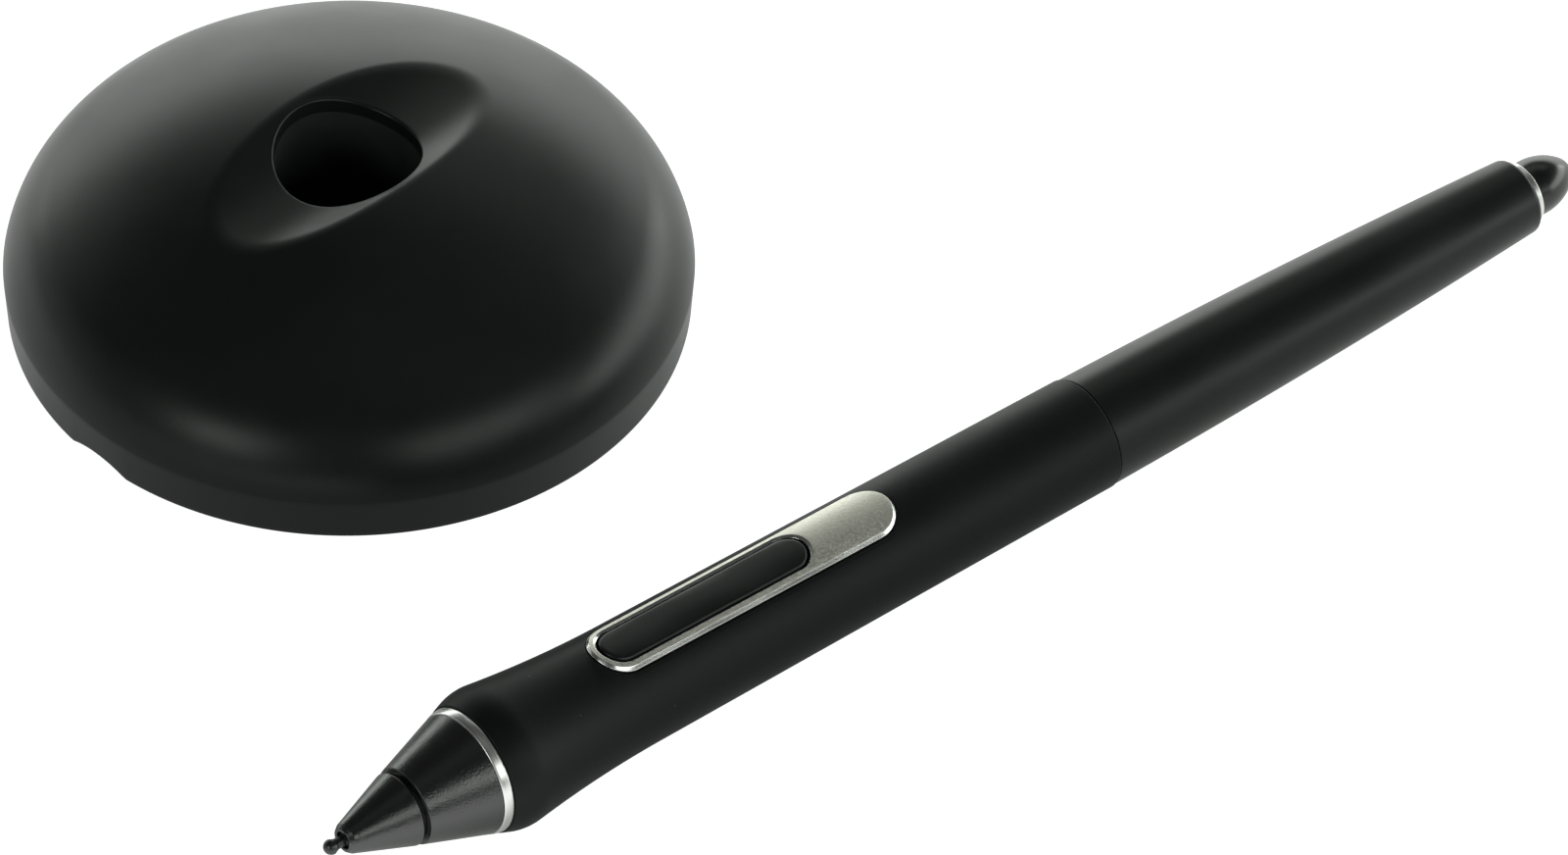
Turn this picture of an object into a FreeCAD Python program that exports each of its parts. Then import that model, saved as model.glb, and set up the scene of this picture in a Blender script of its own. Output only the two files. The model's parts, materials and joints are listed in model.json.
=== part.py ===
"""Drawing pen and its round stand, as one parametric FreeCAD document, in millimetres.

The row frame has its origin on the table at the centre of the stand, +Z up, and +X along the
pen from its nib to its tail.  Every pen piece is drawn in the pen's own frame: z runs along the
barrel from the nib's point, and +x is the side with the rocker switch.  One placement then lays
the whole pen down beside the stand.
"""

import FreeCAD, Part
import Sketcher
import math
import os

doc = FreeCAD.newDocument("PenAndStand")

# ---------------------------------------------------------------------------------------------
# Driving sizes: alias, value, meaning.  Formulas below read them as Dim.alias.
# ---------------------------------------------------------------------------------------------

SIZES = [
    # the pen lying on the table
    ("pen_x", -54.4, "nib point, row x"),
    ("pen_y", -64.9, "nib point, row y"),
    ("pen_tilt", 1.2, "tail end lower than the nib end, degrees"),
    ("pen_roll", 2.8, "switch turned away from straight up, degrees"),
    ("table_gap", 0.02, "gap kept between the lying pen and the table"),
    ("pen_length", 157.0, "nib point to the end of the eraser"),
    # fits
    ("fit_gap", 0.03, "radial gap of parts pushed together"),
    ("slide_gap", 0.05, "radial gap of sliding parts"),
    ("face_gap", 0.05, "gap between faces that meet end to end"),
    ("button_gap", 0.13, "gap round the rocker in its bezel"),
    # nib
    ("nib_tip_radius", 0.8, "ball at the nib's point"),
    ("nib_shaft_radius", 0.75, "shaft of the nib"),
    ("nib_length", 22.0, "whole nib"),
    ("nib_show", 2.2, "length of nib in front of the nose"),
    ("nib_hold", 1.8, "length of nib held by its holder"),
    ("nib_travel", 0.4, "press travel of the nib"),
    # nose tip and nose cone
    ("nose_mouth_radius", 1.25, "front end of the nose tip"),
    ("nose_clearance", 0.15, "hole of the nose beyond the nib's ball"),
    ("nose_tip_radius", 3.95, "back end of the nose tip"),
    ("nose_tip_end", 9.9, "z of the joint between nose tip and nose cone"),
    ("nose_spigot_radius", 3.42, "nose tip's spigot inside the cone"),
    ("nose_spigot_length", 2.3, "length of that spigot"),
    ("cone_front_radius", 4.12, "front end of the nose cone"),
    ("cone_back_rise", 0.55, "back end of the nose cone beyond the grip's back end"),
    ("cone_end", 17.1, "z of the back of the nose cone"),
    ("cone_spigot_wall", 0.65, "wall of the cone's spigot in the front housing"),
    ("cone_spigot_step", 0.15, "spigot's radius beyond the housing's bore"),
    ("cone_spigot_length", 4.4, "length of that spigot"),
    ("ring_rise", 0.23, "nose ring's largest radius beyond the cone's back end"),
    ("ring_length", 1.1, "nose ring along the barrel"),
    ("ring_crown", 2.2, "radius of the nose ring's crowned outside"),
    # grip
    ("grip_lip_rise", 0.95, "front edge of the grip beyond its back end's radius"),
    ("flare_start_rise", 1.3, "start of the rounded crest beyond it"),
    ("flare_start", 19.22, "z where the crest begins"),
    ("flare_rise", 1.6, "largest radius of the grip beyond it"),
    ("flare_z", 21.1, "z of the largest radius"),
    ("flare_crest", 6.0, "radius of the crest's profile"),
    ("flare_end_rise", 1.553, "end of the crest beyond it"),
    ("flare_end", 21.85, "z where the crest ends"),
    ("waist_hollow", 134.0, "radius of the hollow profile between crest and waist"),
    ("waist_rise", 0.47, "waist of the grip beyond it"),
    ("waist_z", 38.5, "z of the waist"),
    ("grip_end_radius", 5.9, "back end of the grip"),
    ("grip_end", 94.9, "z of the back end of the grip"),
    # front housing
    ("grip_wall", 0.75, "rubber over the housing at the grip's back end"),
    ("housing_wall", 0.95, "wall of the front housing"),
    ("housing_step", 0.35, "housing's spigot below its outside"),
    ("housing_spigot_length", 7.1, "length of that spigot"),
    # rear barrel
    ("barrel_step", 0.1, "front end of the rear barrel below the grip's back end"),
    ("barrel_back_radius", 3.95, "back end of the rear barrel"),
    ("barrel_bow", 1250.0, "radius of the barrel's bowed profile"),
    ("tail_length", 6.4, "eraser and ring behind the rear barrel"),
    ("barrel_edge", 0.6, "rounding of the barrel's back edge"),
    ("barrel_bore_step", 0.5, "bore behind the spigot, below the spigot's radius"),
    ("barrel_bore", 3.45, "bore round the eraser parts"),
    ("eraser_bay", 31.2, "length of the narrower bore"),
    ("barrel_end_wall", 2.4, "thickness of the end wall"),
    # tail ring and eraser
    ("tail_ring_radius", 3.25, "outside of the tail ring"),
    ("tail_ring_bore", 3.0, "inside of the tail ring"),
    ("tail_ring_show", 0.7, "length of ring behind the barrel"),
    ("eraser_radius", 2.93, "eraser's cylinder"),
    ("eraser_side", 6.0, "radius of the eraser's bulging side"),
    ("eraser_turn", 40.0, "turn of the side before the round end, degrees"),
    ("eraser_flange_radius", 3.35, "flange that keeps the eraser in"),
    ("eraser_flange", 1.0, "thickness of that flange"),
    ("eraser_travel", 0.8, "press travel of the eraser"),
    ("eraser_stem_radius", 1.2, "stem that presses the eraser's switch"),
    ("eraser_stem_length", 12.2, "length of that stem"),
    ("eraser_core_length", 9.2, "ferrite core round the stem"),
    ("eraser_core_radius", 2.4, "outside of that core"),
    ("eraser_coil_radius", 3.0, "outside of the eraser's coil"),
    ("eraser_coil_length", 6.0, "length of the eraser's coil"),
    ("carrier_wall", 0.3, "side wall of the eraser's carrier"),
    ("carrier_floor", 0.8, "end wall of the eraser's carrier"),
    ("sensor_length", 12.3, "eraser's switch module"),
    ("sensor_button", 0.8, "height of its button"),
    # front sensing parts
    ("core_radius", 2.3, "ferrite core of the nib"),
    ("core_bore", 1.1, "bore of that core"),
    ("core_start", 8.9, "front of that core"),
    ("core_end", 19.7, "back of that core"),
    ("coil_radius", 3.1, "antenna coil"),
    ("coil_start", 12.5, "front of the antenna coil"),
    ("coil_end", 17.3, "back of the antenna coil"),
    ("holder_gap", 0.1, "core holder clear of the cone's bore"),
    ("holder_start", 17.6, "front of the core holder"),
    ("holder_stop", 0.2, "holder's stop in front of the chuck's flange"),
    ("holder_end", 26.3, "back of the core holder"),
    ("holder_chamber", 2.6, "chamber round the spring"),
    ("chuck_radius", 1.6, "front of the nib holder"),
    ("chuck_flange_radius", 2.3, "flange of the nib holder"),
    ("chuck_flange", 0.8, "thickness of that flange"),
    ("chuck_rod_radius", 0.6, "rod into the pressure sensor"),
    ("chuck_rod_length", 4.7, "length of that rod"),
    ("spring_radius", 1.5, "middle radius of the nib's spring"),
    ("spring_wire", 0.16, "half width of the spring's square wire"),
    ("spring_turns", 4.0, "turns of the spring"),
    ("sensor_front", 26.5, "front of the pressure sensor"),
    ("sensor_back", 34.2, "back of the pressure sensor"),
    ("sensor_bore_depth", 3.6, "depth of the sensor's bore"),
    # board and chassis
    ("chassis_start", 34.5, "front of the chassis"),
    ("chassis_end", 92.0, "back of the chassis"),
    ("chassis_flat", 0.4, "height of the chassis' flat above the axis"),
    ("board_thick", 0.8, "circuit board"),
    ("board_width", 7.2, "circuit board"),
    ("board_margin", 0.8, "chassis beyond each end of the board"),
    ("board_screw_radius", 0.5, "shank of a board screw"),
    ("board_screw_head", 0.9, "head of a board screw"),
    ("board_screw_front", 60.5, "z of the front screw"),
    ("board_screw_back", 88.5, "z of the back screw"),
    # rocker switch
    ("bezel_start", 32.6, "front of the bezel"),
    ("bezel_end", 69.6, "back of the bezel"),
    ("bezel_half", 3.2, "half width of the bezel"),
    ("bezel_rim", 0.95, "width of the bezel's rim"),
    ("bezel_front_rise", 0.49, "bezel's top at its front beyond the waist"),
    ("bezel_back_rise", 0.38, "bezel's top at its back beyond the grip there"),
    ("rocker_end", 59.1, "back of the rocker"),
    ("rocker_lift", 0.7, "underside of the rocker's pad beyond the front housing"),
    ("rocker_drop", 0.08, "rocker's top below the bezel's"),
    ("plate_drop", 0.03, "plate's top below the bezel's"),
    ("rocker_angle", 2.7, "tilt of the rocker each way, degrees"),
    ("pivot_z", 46.4, "rocker's pivot along the barrel"),
    ("pivot_depth", 0.85, "rocker's pivot below the front housing's outside"),
    ("pin_radius", 0.4, "rocker's pin"),
    ("foot_reach", 7.9, "pivot to each foot of the rocker"),
    ("foot_gap", 0.4, "foot to plunger with the rocker level"),
    ("tact_height", 1.4, "tact switch body"),
    ("tact_plunger", 0.5, "tact switch plunger"),
    ("tact_half", 1.3, "half width of a tact switch"),
    ("frame_wall", 0.45, "wall of the switch frame"),
    ("frame_inset", 0.45, "switch frame's side inside the bezel's"),
    ("frame_start", 36.0, "front of the switch frame"),
    ("frame_end", 57.0, "back of the switch frame"),
    ("window_gap", 0.5, "housing window beyond the frame's ends"),
    # stand
    ("stand_radius", 34.17, "stand's wall at its widest"),
    ("skirt_draft", 0.33, "lean of the wall at its lower edge"),
    ("skirt_lift", 0.5, "lower edge above the table"),
    ("wall_top", 5.17, "height where the wall turns over"),
    ("edge_radius", 1.5, "rounding at the top of the wall"),
    ("break_angle", 10.0, "turn of that rounding, degrees"),
    ("shoulder_radius", 11.5, "radius of the shoulder's profile"),
    ("crown_angle", 55.4, "shoulder's end, degrees up from level"),
    ("shell_wall", 2.2, "thickness of the shell"),
    ("socket_radius", 7.3, "socket for the pen"),
    ("socket_wall", 1.2, "wall of the socket tube"),
    ("socket_bottom", 2.2, "lower end of the socket tube"),
    ("trough_radius", 16.0, "radius of the trough across the top"),
    ("trough_depth", 2.74, "trough's bottom below the top of the dome"),
    ("trough_turn", 5.1, "trough's direction from +X, degrees"),
    ("trough_floor", 2.1, "material below the trough"),
    ("notch_width", 7.6, "finger notch in the lower edge"),
    ("notch_height", 0.9, "height of that notch"),
    ("notch_turn", 184.5, "direction of the notch, degrees"),
    ("foot_thick", 0.5, "rubber foot"),
    ("foot_inset", 0.9, "foot's edge inside the base plate's"),
    ("base_gap", 0.22, "base plate's edge inside the shell"),
    ("base_thick", 1.2, "base plate"),
    ("well_radius", 5.0, "recess below the standing pen's nib"),
    ("well_depth", 0.7, "depth of that recess"),
    ("collar_inset", 1.7, "collar inside the base plate's edge"),
    ("collar_wall", 1.4, "wall of the collar"),
    ("collar_top", 6.5, "height of the collar"),
    ("lug_angle", 24.0, "length of a bayonet lug, degrees"),
    ("lug_offset", 26.0, "top's lugs beyond the collar's when unlocked, degrees"),
    ("collar_lug_reach", 1.1, "collar's lugs beyond the collar"),
    ("collar_lug_bottom", 4.4, "underside of the collar's lugs"),
    ("collar_lug_height", 1.2, "height of the collar's lugs"),
    ("top_lug_gap", 0.5, "top's lugs clear of the collar"),
    ("top_lug_bottom", 2.4, "underside of the top's lugs"),
    ("top_lug_height", 1.4, "height of the top's lugs"),
    ("twist_ring_thick", 0.8, "slip ring on the collar"),
    ("socket_gap", 1.1, "weight and tray clear of the socket tube"),
    ("weight_gap", 0.4, "weight and tray clear of the collar"),
    ("weight_thick", 2.5, "steel weight"),
    ("layer_gap", 0.1, "gap between base, weight and tray"),
    ("tray_thick", 1.5, "nib tray"),
    ("nib_rise", 0.1, "spare nib's middle above the tray's face"),
    ("nib_row_inset", 3.9, "outer row of spare nibs inside the tray's edge"),
    ("nib_row_pitch", 3.5, "between the rows of spare nibs"),
    ("screw_inset", 2.4, "screws inside the tray's edge"),
    ("screw_radius", 0.95, "shank of a tray screw"),
    ("screw_head_radius", 1.5, "head of a tray screw"),
    ("screw_head_height", 0.8, "head of a tray screw"),
    ("boss_radius", 2.0, "screw boss on the base"),
    ("boss_gap", 0.3, "weight round a boss"),
    ("remover_circle", 17.0, "nib remover from the centre"),
    ("remover_turn", 252.0, "direction of the nib remover, degrees"),
    ("remover_radius", 2.4, "outside of the nib remover"),
    ("remover_bore", 0.95, "hole of the nib remover"),
    ("remover_access", 3.0, "hole in the foot below the remover"),
]

SIDES = 5           # groups of spare nibs round the tray
STANDARD_GROUPS = 3  # groups that hold standard nibs, the rest hold felt ones
LUGS = 3            # bayonet lugs

sheet = doc.addObject("Spreadsheet::Sheet", "Dim")
for row, (alias, number, meaning) in enumerate(SIZES, start=1):
    sheet.set("A%d" % row, alias)
    sheet.set("B%d" % row, str(number))
    sheet.set("C%d" % row, meaning)
    sheet.setAlias("B%d" % row, alias)
doc.recompute()

kept = []


def dim(alias):
    """The number in the sheet's cell with this alias."""
    return float(getattr(sheet, alias))


def amount(formula):
    """The number that a formula over the sheet comes to."""
    result = sheet.evalExpression(str(formula))
    return float(getattr(result, "Value", result))


def bind(thing, path, formula):
    """Ties one property of an object to a formula, or sets it where the formula is a number."""
    if isinstance(formula, (int, float)):
        setattr(thing, path, formula)
    else:
        thing.setExpression(path, formula)


def keep(thing, label, placement=None):
    """Registers a finished sub-part under the name of its file."""
    thing.Label = label
    if placement is not None:
        thing.Placement = placement
    kept.append(thing)
    return thing


# ---------------------------------------------------------------------------------------------
# Builders
# ---------------------------------------------------------------------------------------------

CONVEX = 1
HOLLOW = -1


def arc_between(start, end, radius, turn):
    """Circular arc from start to end; a positive turn runs counter-clockwise."""
    chord = end - start
    half = chord.Length / 2
    rise = math.sqrt(max(radius * radius - half * half, 0))
    left = FreeCAD.Vector(-chord.y, chord.x, 0) / chord.Length
    centre = (start + end) / 2 + left * rise * turn
    circle = Part.Circle(centre, FreeCAD.Vector(0, 0, 1), radius)
    first = math.atan2(start.y - centre.y, start.x - centre.x)
    last = math.atan2(end.y - centre.y, end.x - centre.x)
    if turn < 0:
        first, last = last, first
    return Part.ArcOfCircle(circle, first, last)


def profile(body, name, role, outline):
    """Closed sketch on one of the body's planes.

    Each corner is (x formula, y formula), or (x, y, radius formula, turn) where an arc leads on
    from it to the next corner.
    """
    sketch = body.newObject("Sketcher::SketchObject", name)
    plane = [feature for feature in body.Origin.OriginFeatures if feature.Role == role][0]
    sketch.AttachmentSupport = [(plane, "")]
    sketch.MapMode = "FlatFace"
    corners = [FreeCAD.Vector(amount(c[0]), amount(c[1]), 0) for c in outline]
    starts = []
    ends = []
    for index, corner in enumerate(outline):
        here = corners[index]
        there = corners[(index + 1) % len(corners)]
        if len(corner) == 2:
            sketch.addGeometry(Part.LineSegment(here, there), False)
            starts.append(1)
            ends.append(2)
        else:
            sketch.addGeometry(arc_between(here, there, amount(corner[2]), corner[3]), False)
            starts.append(1 if corner[3] > 0 else 2)
            ends.append(2 if corner[3] > 0 else 1)
    for index in range(len(outline)):
        following = (index + 1) % len(outline)
        sketch.addConstraint(Sketcher.Constraint(
            "Coincident", index, ends[index], following, starts[following]))
    for index, corner in enumerate(outline):
        place = corners[index]
        entries = [("DistanceX", "x%d" % index, corner[0], place.x),
                   ("DistanceY", "y%d" % index, corner[1], place.y)]
        for kind, title, formula, number in entries:
            made = sketch.addConstraint(Sketcher.Constraint(
                kind, -1, 1, index, starts[index], number))
            sketch.renameConstraint(made, title)
            if isinstance(formula, str):
                sketch.setExpression("Constraints.%s" % title, formula)
        if len(corner) == 4:
            title = "arc%d" % index
            made = sketch.addConstraint(Sketcher.Constraint("Radius", index, amount(corner[2])))
            sketch.renameConstraint(made, title)
            sketch.setExpression("Constraints.%s" % title, str(corner[2]))
    sketch.Visibility = False
    return sketch


def turned(name, outline):
    """Body made by turning an outline of (radius, z) about the z axis."""
    body = doc.addObject("PartDesign::Body", name)
    sketch = profile(body, name + "_outline", "XZ_Plane", outline)
    turn = body.newObject("PartDesign::Revolution", name + "_turned")
    turn.Profile = sketch
    turn.ReferenceAxis = (sketch, ["V_Axis"])
    turn.Angle = 360
    body.Tip = turn
    return body


def rounded(body, radius_at, z_at, size):
    """Fillet on the circular edge of a turned body at this radius and z."""
    doc.recompute()
    solid = body.Tip
    wanted = (amount(radius_at), amount(z_at))
    names = []
    for index, edge in enumerate(solid.Shape.Edges, start=1):
        curve = edge.Curve
        if isinstance(curve, Part.Circle):
            found = (curve.Radius, curve.Center.z)
            if max(abs(found[0] - wanted[0]), abs(found[1] - wanted[1])) < 1e-4:
                names.append("Edge%d" % index)
    fillet = body.newObject("PartDesign::Fillet", body.Name + "_round")
    fillet.Base = (solid, names)
    fillet.setExpression("Radius", size)
    body.Tip = fillet
    return body


def tube(name, inner, outer, start, end):
    """Turned ring between two radii and two heights."""
    return turned(name, [(inner, start), (outer, start), (outer, end), (inner, end)])


def place_at(thing, corner):
    """Ties an object's position to three formulas."""
    for axis, formula in zip("xyz", corner):
        if isinstance(formula, str):
            thing.setExpression("Placement.Base.%s" % axis, formula)
        else:
            setattr(thing.Placement.Base, axis, formula)


def block(name, low, size):
    """Box from its low corner and its three lengths."""
    thing = doc.addObject("Part::Box", name)
    for path, formula in zip(("Length", "Width", "Height"), size):
        bind(thing, path, formula)
    place_at(thing, low)
    return thing


TURNS = {
    "x": FreeCAD.Rotation(FreeCAD.Vector(0, 1, 0), 90),
    "y": FreeCAD.Rotation(FreeCAD.Vector(1, 0, 0), -90),
    "z": FreeCAD.Rotation(),
}


def rod(name, radius, length, start, direction="z"):
    """Cylinder from the middle of its first face, along an axis."""
    thing = doc.addObject("Part::Cylinder", name)
    bind(thing, "Radius", radius)
    bind(thing, "Height", length)
    thing.Placement = FreeCAD.Placement(FreeCAD.Vector(), TURNS[direction])
    place_at(thing, start)
    return thing


def wedge_ring(name, inner, outer, bottom, height, middle):
    """Part of a ring, lug_angle long, centred on an angle given in degrees."""
    outside = rod(name + "_outside", outer, height, (0, 0, bottom))
    outside.setExpression("Angle", "Dim.lug_angle")
    inside = rod(name + "_inside", inner, height, (0, 0, bottom))
    lug = cut(name, outside, inside)
    start = "(%s) - Dim.lug_angle / 2" % middle
    lug.Placement = FreeCAD.Placement(
        FreeCAD.Vector(), FreeCAD.Rotation(FreeCAD.Vector(0, 0, 1), amount(start)))
    lug.setExpression("Placement.Rotation.Angle", start)
    return lug


def cut(name, base, tool):
    """Base with the tool taken away."""
    result = doc.addObject("Part::Cut", name)
    result.Base = base
    result.Tool = tool
    return result


def common(name, base, tool):
    """What two shapes share."""
    result = doc.addObject("Part::Common", name)
    result.Base = base
    result.Tool = tool
    return result


def joined(name, shapes):
    """Shapes fused into one."""
    result = doc.addObject("Part::MultiFuse", name)
    result.Shapes = shapes
    return result


def group(name, shapes):
    """Separate like solids kept in one sub-part."""
    result = doc.addObject("Part::Compound", name)
    result.Links = shapes
    return result


def slot_prism(name, half, start, end, low, high):
    """Round-ended prism that stands along x, as long in z as start to end."""
    middle = block(name + "_middle", (low, "-(%s)" % half, "(%s) + (%s)" % (start, half)),
                   ("(%s) - (%s)" % (high, low), "2 * (%s)" % half,
                    "(%s) - (%s) - 2 * (%s)" % (end, start, half)))
    length = "(%s) - (%s)" % (high, low)
    front = rod(name + "_front", half, length, (low, 0, "(%s) + (%s)" % (start, half)), "x")
    back = rod(name + "_back", half, length, (low, 0, "(%s) - (%s)" % (end, half)), "x")
    return joined(name, [middle, front, back])


# ---------------------------------------------------------------------------------------------
# Sizes that follow from the driving ones
# ---------------------------------------------------------------------------------------------

NOSE_BORE = "(Dim.nib_tip_radius + Dim.nose_clearance)"
FLARE_RADIUS = "(Dim.grip_end_radius + Dim.flare_rise)"
WAIST_RADIUS = "(Dim.grip_end_radius + Dim.waist_rise)"
CONE_BACK = "(Dim.grip_end_radius + Dim.cone_back_rise)"
BARREL_FRONT = "(Dim.grip_end_radius - Dim.barrel_step)"
HOUSING_RADIUS = "(Dim.grip_end_radius - Dim.grip_wall)"
HOUSING_BORE = "(%s - Dim.housing_wall)" % HOUSING_RADIUS
HOUSING_SPIGOT = "(%s - Dim.housing_step)" % HOUSING_RADIUS
BARREL_FRONT_BORE = "(%s - Dim.barrel_bore_step)" % HOUSING_SPIGOT
CONE_SPIGOT = "(%s + Dim.cone_spigot_step)" % HOUSING_BORE
CONE_BORE = "(%s - Dim.cone_spigot_wall)" % CONE_SPIGOT
SENSOR_RADIUS = "(%s - 2 * Dim.slide_gap)" % HOUSING_BORE
GRIP_START = "Dim.cone_end + Dim.ring_length + Dim.fit_gap"
BARREL_END = "(Dim.pen_length - Dim.tail_length)"
END_WALL = "(%s - Dim.barrel_end_wall)" % BARREL_END
BOARD_FACE = "(Dim.chassis_flat + Dim.board_thick)"
PIVOT_X = "(%s - Dim.pivot_depth)" % HOUSING_RADIUS
ROCKER_FLOOR = "(%s + Dim.rocker_lift)" % HOUSING_RADIUS
FRAME_TOP = "(%s + Dim.pin_radius + 0.3)" % PIVOT_X
FRAME_HALF = "(Dim.bezel_half - Dim.frame_inset)"
FRAME_INSIDE = "(%s - Dim.frame_wall)" % FRAME_HALF
BEZEL_OPENING = "(Dim.bezel_half - Dim.bezel_rim)"
BEZEL_FRONT = "(%s + Dim.bezel_front_rise)" % WAIST_RADIUS
BEZEL_BACK = ("(%s - Dim.waist_rise * (Dim.bezel_end - Dim.waist_z)"
              " / (Dim.grip_end - Dim.waist_z) + Dim.bezel_back_rise)" % WAIST_RADIUS)
ROCKER_HALF = "(%s - Dim.button_gap)" % BEZEL_OPENING

# The dome's profile: wall, small rounding, shoulder arc and crown arc, each tangent to the next.
EDGE_X = "(Dim.stand_radius - Dim.edge_radius)"
SHOULDER_X = "(%s + (Dim.edge_radius - Dim.shoulder_radius) * cos(Dim.break_angle))" % EDGE_X
SHOULDER_Z = "(Dim.wall_top + (Dim.edge_radius - Dim.shoulder_radius) * sin(Dim.break_angle))"
BREAK_X = "(%s + Dim.edge_radius * cos(Dim.break_angle))" % EDGE_X
BREAK_Z = "(Dim.wall_top + Dim.edge_radius * sin(Dim.break_angle))"
CROWN_X = "(%s + Dim.shoulder_radius * cos(Dim.crown_angle))" % SHOULDER_X
CROWN_Z = "(%s + Dim.shoulder_radius * sin(Dim.crown_angle))" % SHOULDER_Z
CROWN_RADIUS = "(%s / cos(Dim.crown_angle))" % CROWN_X
CROWN_CENTRE = "(%s - %s * sin(Dim.crown_angle))" % (CROWN_Z, CROWN_RADIUS)
INNER_SHOULDER = "(Dim.shoulder_radius - Dim.shell_wall)"
INNER_CROWN = "(%s - Dim.shell_wall)" % CROWN_RADIUS
INNER_WALL = "(%s + %s)" % (SHOULDER_X, INNER_SHOULDER)
TROUGH_BOTTOM = "(%s + %s - Dim.trough_depth)" % (CROWN_CENTRE, CROWN_RADIUS)
SOCKET_OUTSIDE = "(Dim.socket_radius + Dim.socket_wall)"
BASE_FACE = "(Dim.foot_thick + Dim.base_thick)"
BASE_RADIUS = "(%s - Dim.base_gap)" % INNER_WALL
COLLAR_RADIUS = "(%s - Dim.collar_inset)" % BASE_RADIUS
COLLAR_BORE = "(%s - Dim.collar_wall)" % COLLAR_RADIUS
TRAY_RADIUS = "(%s - Dim.weight_gap)" % COLLAR_BORE
TRAY_BORE = "(%s + Dim.socket_gap)" % SOCKET_OUTSIDE
SCREW_CIRCLE = "(%s - Dim.screw_inset)" % TRAY_RADIUS
NIB_ROWS = ("(%s - Dim.nib_row_inset)" % TRAY_RADIUS,
            "(%s - Dim.nib_row_inset - Dim.nib_row_pitch)" % TRAY_RADIUS)


# ---------------------------------------------------------------------------------------------
# The pen's placement: z of the pen runs along row +X, its switch side points up.
# ---------------------------------------------------------------------------------------------

tilt = math.radians(dim("pen_tilt"))
nib_height = (dim("table_gap") + amount(FLARE_RADIUS) * math.cos(tilt)
              + dim("flare_z") * math.sin(tilt))
lie_down = FreeCAD.Rotation(FreeCAD.Vector(1, 0, 1), 180)
lower_tail = FreeCAD.Rotation(FreeCAD.Vector(0, 1, 0), dim("pen_tilt"))
turn_switch = FreeCAD.Rotation(FreeCAD.Vector(0, 0, 1), dim("pen_roll"))
PEN = FreeCAD.Placement(FreeCAD.Vector(dim("pen_x"), dim("pen_y"), nib_height),
                        lower_tail * lie_down * turn_switch)


# ---------------------------------------------------------------------------------------------
# Pen: nib and nose
# ---------------------------------------------------------------------------------------------

def make_nib():
    """Plastic nib: a ball point on a thin shaft that slides into its holder."""
    body = turned("nib_turned", [
        (0, 0, "Dim.nib_tip_radius", CONVEX),
        ("Dim.nib_tip_radius", "Dim.nib_tip_radius"),
        ("Dim.nib_tip_radius", "2 * Dim.nib_tip_radius"),
        ("Dim.nib_shaft_radius", "2.2 * Dim.nib_tip_radius"),
        ("Dim.nib_shaft_radius", "Dim.nib_length - Dim.nib_shaft_radius / 3"),
        ("Dim.nib_shaft_radius * 2 / 3", "Dim.nib_length"),
        (0, "Dim.nib_length"),
    ])
    keep(body, "nib", PEN)


def make_nose():
    """Two-piece nose and the bright ring behind it."""
    slope = "(Dim.nose_tip_radius - Dim.nose_mouth_radius) / (Dim.nose_tip_end - Dim.nib_show)"
    pocket = "Dim.core_radius + 0.1"
    tip = turned("nose_tip_turned", [
        (NOSE_BORE, "Dim.nib_show"),
        ("Dim.nose_mouth_radius", "Dim.nib_show"),
        ("Dim.nose_tip_radius", "Dim.nose_tip_end"),
        ("Dim.nose_spigot_radius", "Dim.nose_tip_end"),
        ("Dim.nose_spigot_radius", "Dim.nose_tip_end + Dim.nose_spigot_length"),
        ("Dim.core_radius + 0.45", "Dim.nose_tip_end + Dim.nose_spigot_length"),
        ("Dim.core_radius + 0.45", "Dim.core_start + 0.6"),
        (pocket, "Dim.core_start - 0.1"),
        (pocket, "Dim.core_start - 0.4"),
        (NOSE_BORE, "Dim.core_start - 0.4 - (%s - %s) / (%s)" % (pocket, NOSE_BORE, slope)),
    ])
    keep(tip, "nose_tip", PEN)

    spigot_end = "Dim.cone_end + Dim.cone_spigot_length"
    seat = "Dim.nose_tip_end + Dim.nose_spigot_length + Dim.face_gap"
    cone = turned("nose_cone_turned", [
        ("Dim.nose_spigot_radius + Dim.fit_gap", "Dim.nose_tip_end + Dim.fit_gap"),
        ("Dim.cone_front_radius", "Dim.nose_tip_end + Dim.fit_gap"),
        (CONE_BACK, "Dim.cone_end"),
        (CONE_SPIGOT, "Dim.cone_end"),
        (CONE_SPIGOT, spigot_end),
        (CONE_BORE, spigot_end),
        (CONE_BORE, seat),
        ("Dim.nose_spigot_radius + Dim.fit_gap", seat),
    ])
    keep(cone, "nose_cone", PEN)

    ring = turned("nose_ring_turned", [
        (CONE_SPIGOT + " + Dim.fit_gap", "Dim.cone_end + Dim.fit_gap"),
        (CONE_BACK + " + Dim.fit_gap", "Dim.cone_end + Dim.fit_gap",
         "Dim.ring_crown", CONVEX),
        (CONE_BACK + " + Dim.ring_rise", "Dim.cone_end + Dim.ring_length"),
        (CONE_SPIGOT + " + Dim.fit_gap", "Dim.cone_end + Dim.ring_length"),
    ])
    keep(ring, "nose_ring", PEN)


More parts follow.
